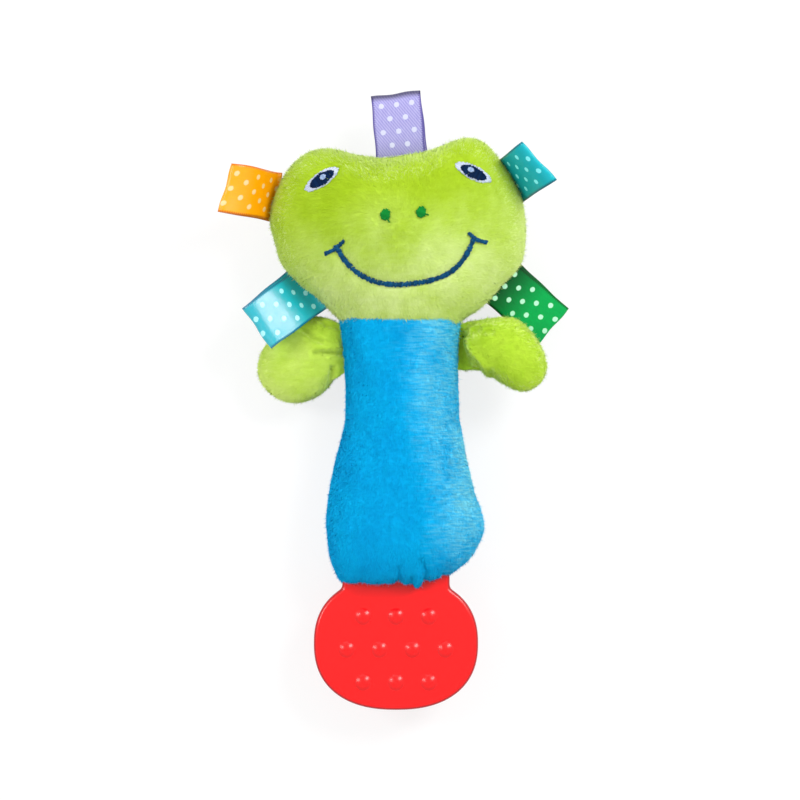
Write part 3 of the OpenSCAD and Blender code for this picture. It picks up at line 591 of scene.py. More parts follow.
def head_cover():
    """The head as one closed cover: rings from the middle of the face to the seam and round to the back."""
    angle = np.linspace(-90, 270, HEAD_COLS, endpoint=False)
    reach = hermite(HEAD_TURN, angle) - PILE_ROOM
    share = [FRONT * k / HEAD_RINGS for k in range(1, HEAD_RINGS + 1)]
    share += [BACK * k / HEAD_RINGS for k in range(HEAD_RINGS - 1, 0, -1)]
    rows = []
    for f in share:
        phi = math.radians(90 * abs(f))
        x = HEAD_MIDDLE[0] + reach * math.sin(phi) * np.cos(np.radians(angle))
        y = HEAD_MIDDLE[1] + reach * math.sin(phi) * np.sin(np.radians(angle))
        full = max(math.cos(phi), 0.0) ** 0.85
        if f > 0:
            lumps = brow(x, y, LEFT_EYE) + brow(x, y, RIGHT_EYE) + muzzle(x, y)
            z = SEAM_Z + FACE_DEPTH * full + lumps * min(1.0, 3 * full)
        else:
            z = np.full_like(x, max(SEAM_Z - BACK_DEPTH * full, REST_Z))
        rows.append(np.stack([x, y, z], axis=1))
    middle_z = SEAM_Z + FACE_DEPTH + muzzle(*HEAD_MIDDLE)
    points = np.concatenate([*rows, [[*HEAD_MIDDLE, middle_z]], [[*HEAD_MIDDLE, REST_Z]]])
    count = len(share)
    top, under = count * HEAD_COLS, count * HEAD_COLS + 1
    faces = [f[::-1] for f in tube_faces(count, HEAD_COLS)]
    faces += cap_faces(top, 0, HEAD_COLS, False)
    faces += cap_faces(under, (count - 1) * HEAD_COLS, HEAD_COLS, True)
    seam = np.zeros(len(points), bool)
    seam[(HEAD_RINGS - 1) * HEAD_COLS : HEAD_RINGS * HEAD_COLS] = True
    return points, faces, seam


def smile_path():
    """Points along the smile, from its left end to its right end."""
    marks = np.array([
        (-20.2, 49.0), (-18.6, 45.8), (-16.2, 42.8), (-12.8, 39.9), (-8, 37.6), (-2, 36.6),
        (3.5, 36.9), (9.8, 38.0), (14.8, 39.9), (18.7, 42.9), (21.6, 47.0), (23.4, 51.2),
    ])
    steps = run_along(marks)
    return curve(marks, steps, np.arange(0, steps[-1], 0.5))


SMILE = smile_path()
LEFT_BAR = ((-23.8, 46.5), (-20.6, 48.0), (-17.9, 50.4))
RIGHT_BAR = ((21.9, 53.0), (24.4, 51.0), (27.6, 50.1))


def eye_share(points, middle, slant, length, height):
    """How far out a point lies in an eye's almond: 1 on its edge."""
    dx, dy = points[:, 0] - middle[0], points[:, 1] - middle[1]
    c, s = math.cos(math.radians(slant)), math.sin(math.radians(slant))
    along, across = dx * c + dy * s, dy * c - dx * s
    return np.sqrt((along / (length / 2)) ** 2 + (across / (height / 2)) ** 2)


EYES = {"left": (LEFT_EYE, 33.0), "right": (RIGHT_EYE, -25.5)}
NOSTRILS = {"left": (-4.7, 58.7), "right": (6.7, 59.5)}
EYE_L, EYE_H = 12.4, 4.7
PUPIL_L, PUPIL_H = EYE_L * 0.71, EYE_H * 0.8
GLINT_L, GLINT_H = 1.9, 1.7

CROWN_FOLDS = [
    (((-4.2, 79), (-3.0, 74.5)), 0.35, 1.6),
    (((1.2, 79.5), (1.0, 76.0)), 0.3, 1.4),
    (((6.0, 80), (8.0, 75.5)), 0.3, 1.8),
]


def face_dent(points):
    """The stitching pulls the cover in a little, and small gathers start at the top ribbon."""
    dent = crease(points, SMILE, 0.9, 2.2)
    for middle, slant in EYES.values():
        beyond = np.maximum(eye_share(points, middle, slant, EYE_L, EYE_H) - 0.9, 0)
        dent += 0.7 * np.exp(-(beyond**2) / 0.18)
    for place in NOSTRILS.values():
        dent += crease(points, [place], 0.7, 2.6)
    front = points[:, 2] > SEAM_Z + 2
    return creases(points, CROWN_FOLDS, dent) * front


points, faces, seam = head_cover()
pinned = seam | (points[:, 1] < NECK_Y)
points = settle(points, faces, pinned, grow=0.02, pressure=1.2, cap=1.0, smooth=8)
points[:, 2] = np.maximum(points[:, 2], REST_Z)
head = make("head", points, faces)
press_in(head, points, face_dent(points))
mark_cover(head, seam)
give(head, HEAD_PLUSH)

FACE = BVHTree.FromPolygons(points.tolist(), faces)


def face_z(x, y):
    """Height of the face at a place in the plan."""
    return FACE.ray_cast(Vector((x, y, 100)), Vector((0, 0, -1)))[0].z


def off_stitching(root):
    """Keeps strands off the stitched places and out of the body."""
    clear = away_from(root, SMILE) > 0.95
    for bar in (LEFT_BAR, RIGHT_BAR):
        clear &= away_from(root, np.linspace(bar[0], bar[2], 12)) > 0.8
    for middle, slant in EYES.values():
        clear &= eye_share(root, middle, slant, EYE_L - 0.9, EYE_H - 0.9) > 1
    for place in NOSTRILS.values():
        clear &= away_from(root, [place]) > 1.9
    clear |= root[:, 2] < SEAM_Z
    return clear & (root[:, 1] > NECK_Y + 0.1) & (np.abs(root[:, 2] - SEAM_Z) > SEAM_GAP)


def head_comb(root):
    """Out from the middle of the face on all sides, with a slight swirl, and over the edge to the seam."""
    swirl = 0.4
    away = root[:, :2] - HEAD_MIDDLE
    away /= np.linalg.norm(away, axis=1, keepdims=True) + 2.5
    dx, dy = away[:, 0], away[:, 1]
    return np.column_stack([dx - swirl * dy, dy + swirl * dx, np.zeros(len(root))])


head_pile = pile("head_pile", head, 1.1, head_comb, 11, off_stitching)
give(head_pile, HEAD_PLUSH)
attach(head, "plush")
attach(head_pile, "plush")
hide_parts("face_panel", "head_back_panel", "head_stuffing")


# Face stitching: each stitch is a thread that arches from one edge to the other.


def stitches(name, pairs, material, lift, rise, width, seed):
    """A patch of stitches, each from one place on the face to another."""
    rng = np.random.default_rng(seed)
    steps = np.linspace(0, 1, 7)
    section = [(-0.5, 0.0), (-0.34, 0.75), (0.0, 1.0), (0.34, 0.75), (0.5, 0.0)]
    points, faces, shade = [], [], []
    for start, end in pairs:
        start, end = np.asarray(start, float), np.asarray(end, float)
        ahead = unit(end - start)
        side = np.array([-ahead[1], ahead[0]])
        base = len(points)
        tone = rng.random()
        for t in steps:
            middle = start + (end - start) * t
            arch = math.sin(math.pi * (0.06 + 0.88 * t)) ** 0.7
            z = face_z(*middle) + lift + rise * arch * (0.9 + 0.2 * tone)
            for across, up in section:
                p = middle + side * across * width
                points.append((p[0], p[1], z + (up - 0.6) * width * 0.6))
                shade.append(tone)
        faces += [tuple(base + k for k in f) for f in tube_faces(len(steps), len(section), closed=False)]
    obj = make(name, points, faces)
    number_points(obj, "strand", shade)
    give(obj, material)
    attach(obj, "plush")
    return obj


def almond_edge(middle, slant, length, height, angle):
    """A point on an almond's edge, slimmer toward its corners."""
    a = math.radians(angle)
    along = length / 2 * math.cos(a)
    across = height / 2 * math.sin(a) * (0.74 + 0.26 * abs(math.sin(a)))
    return set_in(middle, slant, along, across)


def fill_pairs(middle, slant, length, height, pitch, rng):
    """Stitches side by side across an almond."""
    slip = 0.12
    pairs = []
    for along in np.arange(-length / 2 + pitch / 2, length / 2, pitch):
        half = height / 2 * math.sqrt(max(1 - (2 * along / length) ** 2, 0)) * rng.uniform(0.86, 1.12)
        pairs.append((set_in(middle, slant, along, -half), set_in(middle, slant, along + slip, half)))
    return pairs


def sewn_eye(hand, middle, slant, glint):
    """A white border round a navy pupil with a white glint on it."""
    rng = np.random.default_rng(5 if hand == "left" else 6)
    border = []
    for angle in np.arange(0, 360, 4.5):
        size = rng.uniform(0.93, 1.06)
        outer = almond_edge(middle, slant, EYE_L * size, EYE_H * size, angle + rng.normal(0, 0.6))
        inner = almond_edge(middle, slant, EYE_L * 0.66, EYE_H * 0.55, angle + 3)
        border.append((inner, outer))
    white = stitches(
        f"{hand}_eye_border", border, WHITE_THREAD, lift=0.35, rise=0.35, width=0.5, seed=21
    )
    fill = fill_pairs(middle, slant, PUPIL_L, PUPIL_H, 0.33, rng)
    pupil = stitches(
        f"{hand}_eye_fill", fill, PUPIL_THREAD, lift=0.7, rise=0.4, width=0.46, seed=22
    )
    spark = fill_pairs(glint, slant, GLINT_L, GLINT_H, 0.34, rng)
    light = stitches(
        f"{hand}_eye_spark", spark, GLINT_THREAD, lift=1.3, rise=0.3, width=0.44, seed=23
    )
    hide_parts(f"{hand}_eye_white")
    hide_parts(f"{hand}_eye_pupil")
    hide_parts(f"{hand}_eye_glint")


sewn_eye("left", *EYES["left"], (-24.6, 70.9))
sewn_eye("right", *EYES["right"], (22.5, 73.3))

for hand, place in NOSTRILS.items():
    rng = np.random.default_rng(31)
    knot = fill_pairs(np.array(place), 70, 3.5, 3.3, 0.36, rng)
    tail = np.array([1.4, -2.5]) if hand == "left" else np.array([2.4, -0.9])
    knot.append((np.array(place) + 0.4 * tail, np.array(place) + tail))
    spot = stitches(
        f"{hand}_nostril_knot", knot, GREEN_THREAD, lift=0.5, rise=0.55, width=0.5, seed=32
    )
    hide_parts(f"{hand}_nostril")


def satin_line(path, width, rng):
    """Stitches across a path, slanted a little, with uneven ends."""
    slip = 0.2
    ahead = unit(np.gradient(path, axis=0))
    side = np.stack([-ahead[:, 1], ahead[:, 0]], axis=1)
    pairs = []
    for place, way, across in zip(path, ahead, side):
        half = width / 2 * rng.uniform(0.7, 1.25)
        pairs.append((place - across * half - way * slip, place + across * half + way * slip))
    return pairs


def bar_path(marks):
    return curve(np.array(marks), [0, 1, 2], np.linspace(0, 2, 17))


rng = np.random.default_rng(41)
smile_pairs = satin_line(SMILE, 1.55, rng)
for bar in (LEFT_BAR, RIGHT_BAR):
    smile_pairs += satin_line(bar_path(bar), 1.2, rng)
smile = stitches("smile", smile_pairs, NAVY_THREAD, lift=0.55, rise=0.4, width=0.56, seed=42)
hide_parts("smile_stitching")


# Body

# Half widths to the left and right and depths to the front and back, from the hem up to the neck.
LEFT_SIDE = [
    (-61, -16.2), (-58.4, -19.4), (-55, -21.2), (-51, -22.5), (-44, -23.5), (-38, -23.8), (-30, -22.9),
    (-20, -21.0), (-10, -18.4), (-2, -17.6), (5, -17.6), (15, -18.5), (25.5, -19.4), (28.5, -19.2),
]
RIGHT_SIDE = [
    (-61, 12.4), (-58.4, 15.6), (-55, 18.8), (-50.5, 22.6), (-46, 25.3), (-41, 26.9), (-36, 26.2),
    (-30, 24.1), (-20, 21.9), (-10, 19.9), (0, 19), (10, 18.7), (20, 18.9), (25.5, 19.3), (28.5, 19.1),
]
BELLY = [(-40, 17.4), (-20, 16.6), (0, 15), (18, 14.6), (24, 15.0), (26.4, 14.2), (28.5, 11)]
SPINE = [(-40, 17.6), (-20, 16.4), (0, 15), (20, 14), (26, 13), (28.5, 10)]
# How far the hem's edge lies above or below its middle line, across the toy.
HEM_EDGE = [
    (-24, 1.2), (-18.7, 0.4), (-15, 0.2), (-8, 0.1), (0, 0.2), (3.5, -0.3), (5.5, -1.2), (7.6, 0.1),
    (11, 1.4), (15.6, 2.6), (20, 3.8), (28, 4.4),
]
BODY_COLS = 144
# Below the hips the body rounds off to the hem.
HIP_Y = -40
HEM_DROP = 19.0
HEM_HALF = 3.6
BODY_FOLDS = [
    (((-1.5, -61), (0.0, -57), (-0.5, -53.5)), 1.3, 0.9),
    (((3.2, -61), (4.0, -56.5)), 0.8, 0.7),
    (((8.0, -60), (8.6, -55.0), (7.0, -51.0)), 1.5, 0.9),
    (((13.5, -58), (15.5, -53.5)), 0.8, 1.1),
    (((-13, -60), (-11, -54)), 0.5, 1.4),
    (((20.5, -4), (15.5, -8.5)), 0.7, 1.6),
    (((23, -18), (16, -21)), 0.5, 2.0),
    (((-19.5, -6), (-13, -9)), 0.5, 2.2),
]


def body_cover():
    """The body as a tube from inside the neck to the turned-in hem."""
    upper = np.concatenate([np.linspace(28.4, 22, 12), np.linspace(20.5, HIP_Y, 46)])
    lower = HIP_Y - HEM_DROP * np.sin(np.radians(np.linspace(5, 90, 20)))
    phi = np.radians(np.linspace(0, 360, BODY_COLS, endpoint=False))
    rows = []
    for y in np.concatenate([upper, lower]):
        left, right = hermite(LEFT_SIDE, [y])[0], hermite(RIGHT_SIDE, [y])[0]
        middle, half = (left + right) / 2, (right - left) / 2
        down = max((HIP_Y - y) / HEM_DROP, 0)
        full = math.sqrt(max(1 - down * down, 0))
        depths = [hermite(knots, [max(y, HIP_Y)])[0] for knots in (BELLY, SPINE)]
        deep, under = (HEM_HALF + (depth - HEM_HALF) * full for depth in depths)
        x = middle + half * np.cos(phi)
        z = SEAM_Z + np.where(np.sin(phi) > 0, deep, under) * np.sin(phi)
        rows.append(np.stack([x, y + down**5 * hermite(HEM_EDGE, x), z], axis=1))
    hem = rows[-1]
    for inward, shrink in ((0.6, 0.8), (2.5, 0.66)):
        fold = hem.copy()
        fold[:, 1] += inward
        fold[:, 2] = SEAM_Z + (fold[:, 2] - SEAM_Z) * shrink
        rows.append(fold)
    points = np.concatenate(rows)
    faces = tube_faces(len(rows), BODY_COLS)
    pinned = np.zeros(len(points), bool)
    pinned[:BODY_COLS] = True
    pinned[-5 * BODY_COLS :] = True
    grid = np.arange(len(points)).reshape(-1, BODY_COLS)
    seam = np.zeros(len(points), bool)
    seam[grid[:, [0, BODY_COLS // 2]].ravel()] = True
    return points, faces, pinned | seam, seam


points, faces, pinned, seam = body_cover()
points = settle(points, faces, pinned, grow=0.02, pressure=1.5, cap=0.6, smooth=5)
points[:, 2] = np.maximum(points[:, 2], REST_Z)
body = make("body", points, faces)
front = points[:, 2] > SEAM_Z
press_in(body, points, creases(points, BODY_FOLDS) * front)
mark_cover(body, seam)
give(body, BODY_PLUSH)


def body_comb(root):
    """Down toward the hem, and a little to the right."""
    return np.tile([0.15, -1.0, 0.0], (len(root), 1))


def outside_head(root):
    """Keeps strands out of the head and off the seams."""
    return (root[:, 1] < 26.6) & (np.abs(root[:, 2] - SEAM_Z) > SEAM_GAP)


body_pile = pile("body_pile", body, 1.0, body_comb, 12, outside_head)
give(body_pile, BODY_PLUSH)
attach(body, "plush")
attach(body_pile, "plush")
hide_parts("body_front_panel", "body_back_panel", "body_stuffing")


# Arms
# Each row is the distance out from the shoulder, the lower edge, the upper edge and half the depth, before
# the arm lifts.

ARM_COLS = 112
ARMS = {
    "left": {
        "way": -1,
        "pivot": (-21.647, 15.683),
        "lift": -25.0,
        "rows": [
            (-5.0, 9.0, 23.0, 0.5), (-3.4, 8.0, 24.6, 0.9), (-1.5, 6.6, 25.6, 2.2), (1, 4.8, 26.6, 4.2),
            (4, 2.2, 27.2, 6.6), (8, 0.1, 27.3, 8.4), (12, -1.0, 26.4, 9.4), (16, -0.8, 24.6, 9.6),
            (19.6, 0.7, 21.9, 8.6), (22.4, 2.9, 18.7, 6.8), (24.2, 5.4, 15.8, 4.8), (25.4, 8.0, 12.8, 2.6),
        ],
        "seed": 13,
    },
    "right": {
        "way": 1,
        "pivot": (21.766, 15.911),
        "lift": 14.0,
        "rows": [
            (-5.0, 9.6, 23.4, 0.5), (-3.4, 8.8, 24.8, 0.9), (-1.5, 8.5, 25.4, 2.2), (1, 8.4, 25.9, 4.2),
            (4, 8.2, 26.3, 6.6), (8, 6.8, 26.8, 8.4), (12, 4.6, 27.0, 9.4), (16, 2.9, 26.2, 9.6),
            (19.4, 2.6, 23.4, 8.6), (22.0, 3.8, 20.2, 6.8), (24.0, 6.0, 17.0, 4.8), (25.4, 9.0, 13.6, 2.6),
        ],
        "seed": 14,
    },
}


def arm_cover(arm):
    """An arm as a closed lobe from inside the body's side seam to the paw."""
    table = np.array(arm["rows"], float)
    spread = np.concatenate([np.linspace(table[0, 0], 20, 46), np.linspace(20, table[-1, 0], 14)[1:]])
    phi = np.radians(np.linspace(0, 360, ARM_COLS, endpoint=False))
    low, high, deep = (hermite(table[:, [0, k]], spread) for k in (1, 2, 3))
    rows = []
    for s, lo, hi, d in zip(spread, low, high, deep):
        y = (lo + hi) / 2 + ((hi - lo) / 2 - 0.6) * np.cos(phi)
        z = (d - 0.2) * np.sin(phi)
        rows.append(np.stack([np.full(ARM_COLS, s), y, z], axis=1))
    tip = [[table[-1, 0] + 0.5, (table[-1, 1] + table[-1, 2]) / 2, 0.0]]
    root = [[table[0, 0] - 0.4, (table[0, 1] + table[0, 2]) / 2, 0.0]]
    flat = np.concatenate([*rows, root, tip])
    lift = np.radians(arm["lift"]) * np.clip((flat[:, 0] + 2.5) / 3.5, 0, 1)
    out = flat[:, 0] * np.cos(lift) - flat[:, 2] * np.sin(lift)
    up = flat[:, 0] * np.sin(lift) + flat[:, 2] * np.cos(lift)
    points = np.stack([arm["pivot"][0] + arm["way"] * out, flat[:, 1], SEAM_Z + up], axis=1)
    count = len(rows)
    faces = tube_faces(count, ARM_COLS)
    faces += cap_faces(count * ARM_COLS, 0, ARM_COLS, True)
    faces += cap_faces(count * ARM_COLS + 1, (count - 1) * ARM_COLS, ARM_COLS, False)
    if arm["way"] < 0:
        faces = [f[::-1] for f in faces]
    grid = np.arange(count * ARM_COLS).reshape(count, ARM_COLS)
    pinned = np.zeros(len(points), bool)
    pinned[grid[:9].ravel()] = True
    pinned[-2:] = True
    seam = np.zeros(len(points), bool)
    seam[grid[:, [0, ARM_COLS // 2]].ravel()] = True
    return points, faces, pinned | seam, seam


LEFT_ARM_FOLDS = [
    (((-31, 22.6), (-27.4, 19.8), (-25, 18.8)), 1.1, 0.8),
    (((-27, 15.0), (-23, 15.2), (-18, 15.0)), 1.1, 0.8),
    (((-21.4, 10.4), (-22.2, 5.2)), 1.4, 0.8),
    (((-24, 24.6), (-20, 23.4)), 0.7, 0.9),
    (((-27, 17.0), (-20, 17.2)), -0.7, 1.2),
]
RIGHT_ARM_FOLDS = [
    (((21.6, 19), (22.2, 16.1), (26, 12.1), (28.2, 8.6)), -0.8, 1.2),
    (((24, 22.6), (29, 22.0)), 0.5, 1.2),
]
# The edge of the right arm's lap, from low to high.
LAP_Y = [4, 8.5, 12.1, 16.1, 20.6, 24]
LAP_X = [29, 27, 25, 21.2, 20.4, 19.0]


def arm_dent(hand, points):
    """Gathers at the shoulder: creases on the left arm, and on the right a lap over a sunken root."""
    above = points[:, 2] - SEAM_Z
    if hand == "left":
        above += 0.22 * np.abs(points[:, 0] + 21.6)
        dent = creases(points, LEFT_ARM_FOLDS)
    else:
        lap = np.interp(points[:, 1], LAP_Y, LAP_X)
        dent = creases(points, RIGHT_ARM_FOLDS, 1.5 / (1 + np.exp((points[:, 0] - lap) * 3.0)))
    front = 1 / (1 + np.exp(-above * 1.5))
    return dent * front


def build_arm(hand, arm):
    points, faces, pinned, seam = arm_cover(arm)
    points = settle(points, faces, pinned, grow=0.03, pressure=0.7, cap=0.9, smooth=4)
    limb = make(f"{hand}_arm", points, faces)
    press_in(limb, points, arm_dent(hand, points))
    mark_cover(limb, seam)
    give(limb, ARM_PLUSH)
    px, py = arm["pivot"]
    way = arm["way"]
    rise = math.tan(math.radians(arm["lift"]))

    def arm_comb(root):
        """Out along the arm, and a little down."""
        return np.tile([way, -0.25, 0.0], (len(root), 1))

    def outside_body(root):
        """Keeps strands out of the body and off the arm's seam."""
        away = (root[:, 0] - px) * way
        return (away > -4.0) & (np.abs(root[:, 2] - SEAM_Z - away * rise) > SEAM_GAP)

    fur = pile(f"{hand}_arm_pile", limb, 1.1, arm_comb, arm["seed"], outside_body)
    give(fur, ARM_PLUSH)
    for piece in (limb, fur):
        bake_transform(piece)
    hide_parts(f"{hand}_arm_front_panel", f"{hand}_arm_back_panel", f"{hand}_arm_stuffing")


for hand, arm in ARMS.items():
    build_arm(hand, arm)


# Ribbons
# A path runs from the seam out to the fold and back, as distance out and rise. At the fold the ribbon is
# slanted by skew, its edges curl, and the lower layer drifts aside by sway. At the root it narrows by pinch.
# The cloth is darker by painted shade: by a share over a given run at the root, where the head shades it, and
# by the share crease at the fold, where it turns from the light. The first row of dots is this far from the
# fold;
# odd tells which of the two staggered rows it is. No dots lie on the plain strip at the fold, and the rows
# lean across the ribbon.

EVEN_RIBBON = {
    "sway": 0.0, "pinch": 0.0, "root_shade": 0.0, "root_shade_run": 8.0, "crease": 0.0, "plain": 0.0, "odd": 0, "lean": 0.0,
}
RIBBONS = {
    "top_ribbon": {
        "root": (0.2, 79.4), "heading": 94.8, "skew": -0.052, "sway": -0.8, "curl": 0.3,
        "root_shade": 0.15, "root_shade_run": 5.0, "crease": 0.75, "plain": 1.3, "first": 4.4,
        "path": [
            (-1.6, 0.3), (0.5, 0.8), (6, 1.3), (12, 1.4), (16.6, 1.1), (18.7, 0.4), (19.5, -0.5),
            (19.2, -1.3), (17.8, -1.3), (16.0, -0.9), (11, -0.7), (6, -0.8), (0.5, -0.6), (-1.6, -0.3),
        ],
        "material": LILAC_SATIN, "slot": "lilac_satin",
    },
    "upper_left_ribbon": {
        "root": (-40.5, 65.7), "heading": 172.9, "skew": 0.158, "sway": 0.6, "curl": 0.4, "pinch": 0.03,
        "first": 1.9, "lean": 0.17,
        "path": [
            (-1.6, 0.4), (0.0, 0.8), (2.4, 5.2), (4.4, 9.2), (6.8, 12.8), (10.2, 15.3), (13.6, 16.4),
            (15.0, 16.2), (15.3, 15.7), (14.8, 15.2), (10.6, 13.7), (6.6, 10.4), (3.4, 5.4), (0.8, 0.5),
            (-1.6, -0.4),
        ],
        "material": ORANGE_SATIN, "slot": "orange_satin",
    },
    "upper_right_ribbon": {
        "root": (35.7, 70.45), "heading": 32.4, "skew": -0.184, "curl": -0.4, "pinch": 0.03,
        "root_shade": 0.1, "first": 2.9, "odd": 1,
        "path": [
            (-1.6, 0.4), (0.0, 1.6), (1.3, 5.6), (2.6, 9.6), (4.0, 13.5), (5.6, 17.0), (7.4, 19.8),
            (9.0, 21.2), (9.8, 21.3), (10.0, 20.8), (9.4, 20.0), (6.8, 16.2), (4.5, 11.2), (2.4, 5.0),
            (0.6, 0.6), (-1.6, -0.4),
        ],
        "material": TEAL_SATIN, "slot": "teal_satin",
    },
    "lower_left_ribbon": {
        "root": (-30.8, 34.2), "heading": 217.2, "skew": 0.04, "sway": -1.6, "curl": 0.5,
        "first": 1.3, "odd": 1, "lean": 0.13,
        "path": [
            (-3.6, 0.4), (-1.0, 0.8), (1.6, 2.6), (4.6, 5.8), (8.1, 8.4), (11.6, 9.95), (14.9, 11.3),
            (17.0, 11.6), (18.4, 11.2), (18.7, 10.7), (18.2, 10.2), (14.6, 9.4), (10.6, 7.4), (5.6, 3.4),
            (1.6, 0.6), (-1.0, -0.4), (-3.6, -0.4),
        ],
        "material": AQUA_SATIN, "slot": "aqua_satin",
    },
    "lower_right_ribbon": {
        "root": (33.2, 37.2), "heading": -39.5, "skew": 0.02, "sway": 1.0, "curl": -0.4,
        "root_shade": 0.8, "root_shade_run": 12.0, "first": 1.4, "odd": 1,
        "path": [
            (-1.6, 0.4), (1.0, -0.2), (6.0, -3.0), (12.0, -6.2), (18.1, -8.6), (20.9, -9.8), (21.3, -10.4),
            (20.8, -10.8), (17.7, -10.0), (12.0, -7.8), (6.0, -4.8), (1.0, -1.4), (-1.6, -0.4),
        ],
        "material": LEAF_SATIN, "slot": "leaf_satin",
    },
}


def ribbon(name, r):
    """A loop of ribbon: one strip from the seam out to the fold and back under itself."""
    rows, cols = 110, 17
    fold_shade_end, fold_shade_fade = 2.9, 1.6
    marks = np.array(r["path"], float)
    steps = run_along(marks)
    loop = curve(marks, steps, np.linspace(0, steps[-1], rows))
    run = run_along(loop)
    fold = run[np.argmax(loop[:, 0])]
    reach = loop[:, 0].max()
    heading = math.radians(r["heading"])
    ahead = np.array([math.cos(heading), math.sin(heading), 0.0])
    side = np.array([-math.sin(heading), math.cos(heading), 0.0])
    root = np.array([*r["root"], SEAM_Z])
    points, flat_map, shade = [], [], []
    for (a, b), length in zip(loop, run):
        grow = max(a, 0) / reach
        stray = r["sway"] * max(length - fold, 0) / (run[-1] - fold)
        from_fold = abs(length - fold)
        row = max(from_fold, r["plain"]) - r["first"] + (0.5 + r["odd"]) * DOT_ROW
        fold_shade_share = np.clip((fold_shade_end - from_fold) / fold_shade_fade, 0, 1)
        root_shade_share = np.clip(1 - a / r["root_shade_run"], 0, 1)
        for v in np.linspace(-0.5, 0.5, cols):
            bow = r["curl"] * grow * (4 * v * v - 0.35) + 0.12 * math.sin(5 * v + 0.35 * a) * grow
            narrow = 1 - 0.012 * math.sin(0.5 * a) - r["pinch"] * (1 - grow)
            fray = 0.18 * math.sin(9 * v + 1.3 * r["heading"]) * grow**6
            slant = r["skew"] * v * RIBBON_W * grow
            across = v * RIBBON_W * narrow + stray
            points.append(root + ahead * (a + fray + slant) + side * across + np.array([0, 0, b + bow]))
            # Painted shade at the root and at the fold, stored as height for the satin to darken by.
            shade.append((1 - r["root_shade"] * root_shade_share) * (1 - r["crease"] * fold_shade_share))
            flat_map.append(((v + 0.5) * RIBBON_W, row + r["lean"] * v * RIBBON_W))
    obj = make(name + "_satin", points, tube_faces(rows, cols, closed=False))
    layer = obj.data.uv_layers.new(name="ribbon")
    corner = np.empty(len(obj.data.loops), np.int32)
    obj.data.loops.foreach_get("vertex_index", corner)
    layer.data.foreach_set("uv", np.array(flat_map, np.float32)[corner].ravel())
    number_points(obj, "height", shade)
    thick = obj.modifiers.new("thickness", "SOLIDIFY")
    thick.thickness = RIBBON_T * MM
    thick.offset = 0
    give(obj, r["material"])
    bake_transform(obj)
    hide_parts(name)


for name, facts in RIBBONS.items():
    ribbon(name, EVEN_RIBBON | facts)


# Teether

PLATE_X, PLATE_Y = -1.3, -78.4
PLATE_W, PLATE_H, PLATE_T = 53.0, 43.0, 4.0
PLATE_ROUND = 1.3
PLATE_NECK_W, PLATE_TOP = 34.6, -54.0
# A painted line of shade runs along the rim, as far in as this, and fades out.
RIM_SHADE_END, RIM_SHADE_FADE = 0.85, 0.4
BUMP_PITCH = 10.6
BUMP_D = 5.4
BUMP_H = 0.9
BUMP_DROP = 2.0


def plate_half(inset):
    """Right half of the plate's outline, from the neck inside the hem down to the lowest point."""
    power = 2.35
    a, b = PLATE_W / 2 - inset, PLATE_H / 2 - inset
    neck = PLATE_NECK_W / 2 - inset
    rise = b * (1 - (neck / a) ** power) ** (1 / power)
    start = math.acos((rise / b) ** (power / 2))
    t = np.linspace(start, math.pi, 160)
    c, s = np.cos(t), np.maximum(np.sin(t), 0)
    x = a * s ** (2 / power)
    y = PLATE_Y + b * np.sign(c) * np.abs(c) ** (2 / power)
    rough = np.concatenate([[[neck, PLATE_TOP]], np.stack([x, y], axis=1)])
    run = run_along(rough)
    even = np.linspace(0, run[-1], 120)
    side = np.stack([np.interp(even, run, rough[:, k]) for k in range(2)], axis=1)
    for _ in range(5):
        side[1:-1] = (side[:-2] + 2 * side[1:-1] + side[2:]) / 4
    return side


def plate_points():
    """Rings up the plate's rounded edge, rows across its flat faces, and how much painted shade each point
    has.
    """
    half = PLATE_T / 2 - PLATE_ROUND
    turns = np.radians(np.linspace(0, 90, 7))
    levels = [(PLATE_ROUND * (1 - math.cos(a)), -half - PLATE_ROUND * math.sin(a)) for a in turns[::-1]]
    levels += [(PLATE_ROUND * (1 - math.cos(a)), half + PLATE_ROUND * math.sin(a)) for a in turns]
    points, edge = [], []
    for inset, z in levels:
        side = plate_half(inset)
        ring = np.concatenate([side, side[::-1][1:] * [-1, 1]])
        points.append(np.column_stack([PLATE_X + ring[:, 0], ring[:, 1], np.full(len(ring), SEAM_Z + z)]))
        edge += [np.clip((RIM_SHADE_END - inset) / RIM_SHADE_FADE, 0, 1)] * len(ring)
    cols = len(points[0])
    faces = tube_faces(len(levels), cols)
    last = (len(levels) - 1) * cols
    for i in range(cols // 2 - 1):
        low = (i, i + 1, cols - 2 - i, cols - 1 - i)
        faces.append(low[::-1])
        faces.append(tuple(last + k for k in low))
    return np.concatenate(points), faces, edge


def bump_points(x, y, side):
    """A low round dome, turned about its own axis, and how much painted shade each point has: most on its
    flanks.
    """
    rings, cols = 18, 40
    ball = (BUMP_D * BUMP_D / 4 + BUMP_H * BUMP_H) / (2 * BUMP_H)
    tilts = np.linspace(math.asin(BUMP_D / 2 / ball), 0.06, rings)
    turn = np.linspace(0, 2 * math.pi, cols, endpoint=False)
    points, edge = [], []
    for tilt in tilts:
        r = ball * math.sin(tilt)
        height = np.full(cols, BUMP_H - ball * (1 - math.cos(tilt)))
        points.append(np.column_stack([x + r * np.cos(turn), y + r * np.sin(turn), height]))
        edge += [0.28 * math.sin(2.6 * (2 * r / BUMP_D) ** 2)] * cols
    points = np.concatenate([*points, [[x, y, BUMP_H]]])
    points[:, 2] = SEAM_Z + side * (PLATE_T / 2 + points[:, 2])
    faces = tube_faces(rings, cols) + cap_faces(rings * cols, (rings - 1) * cols, cols, False)
    if side == BACK:
        faces = [f[::-1] for f in faces]
    return points, faces, [*edge, 0.0]


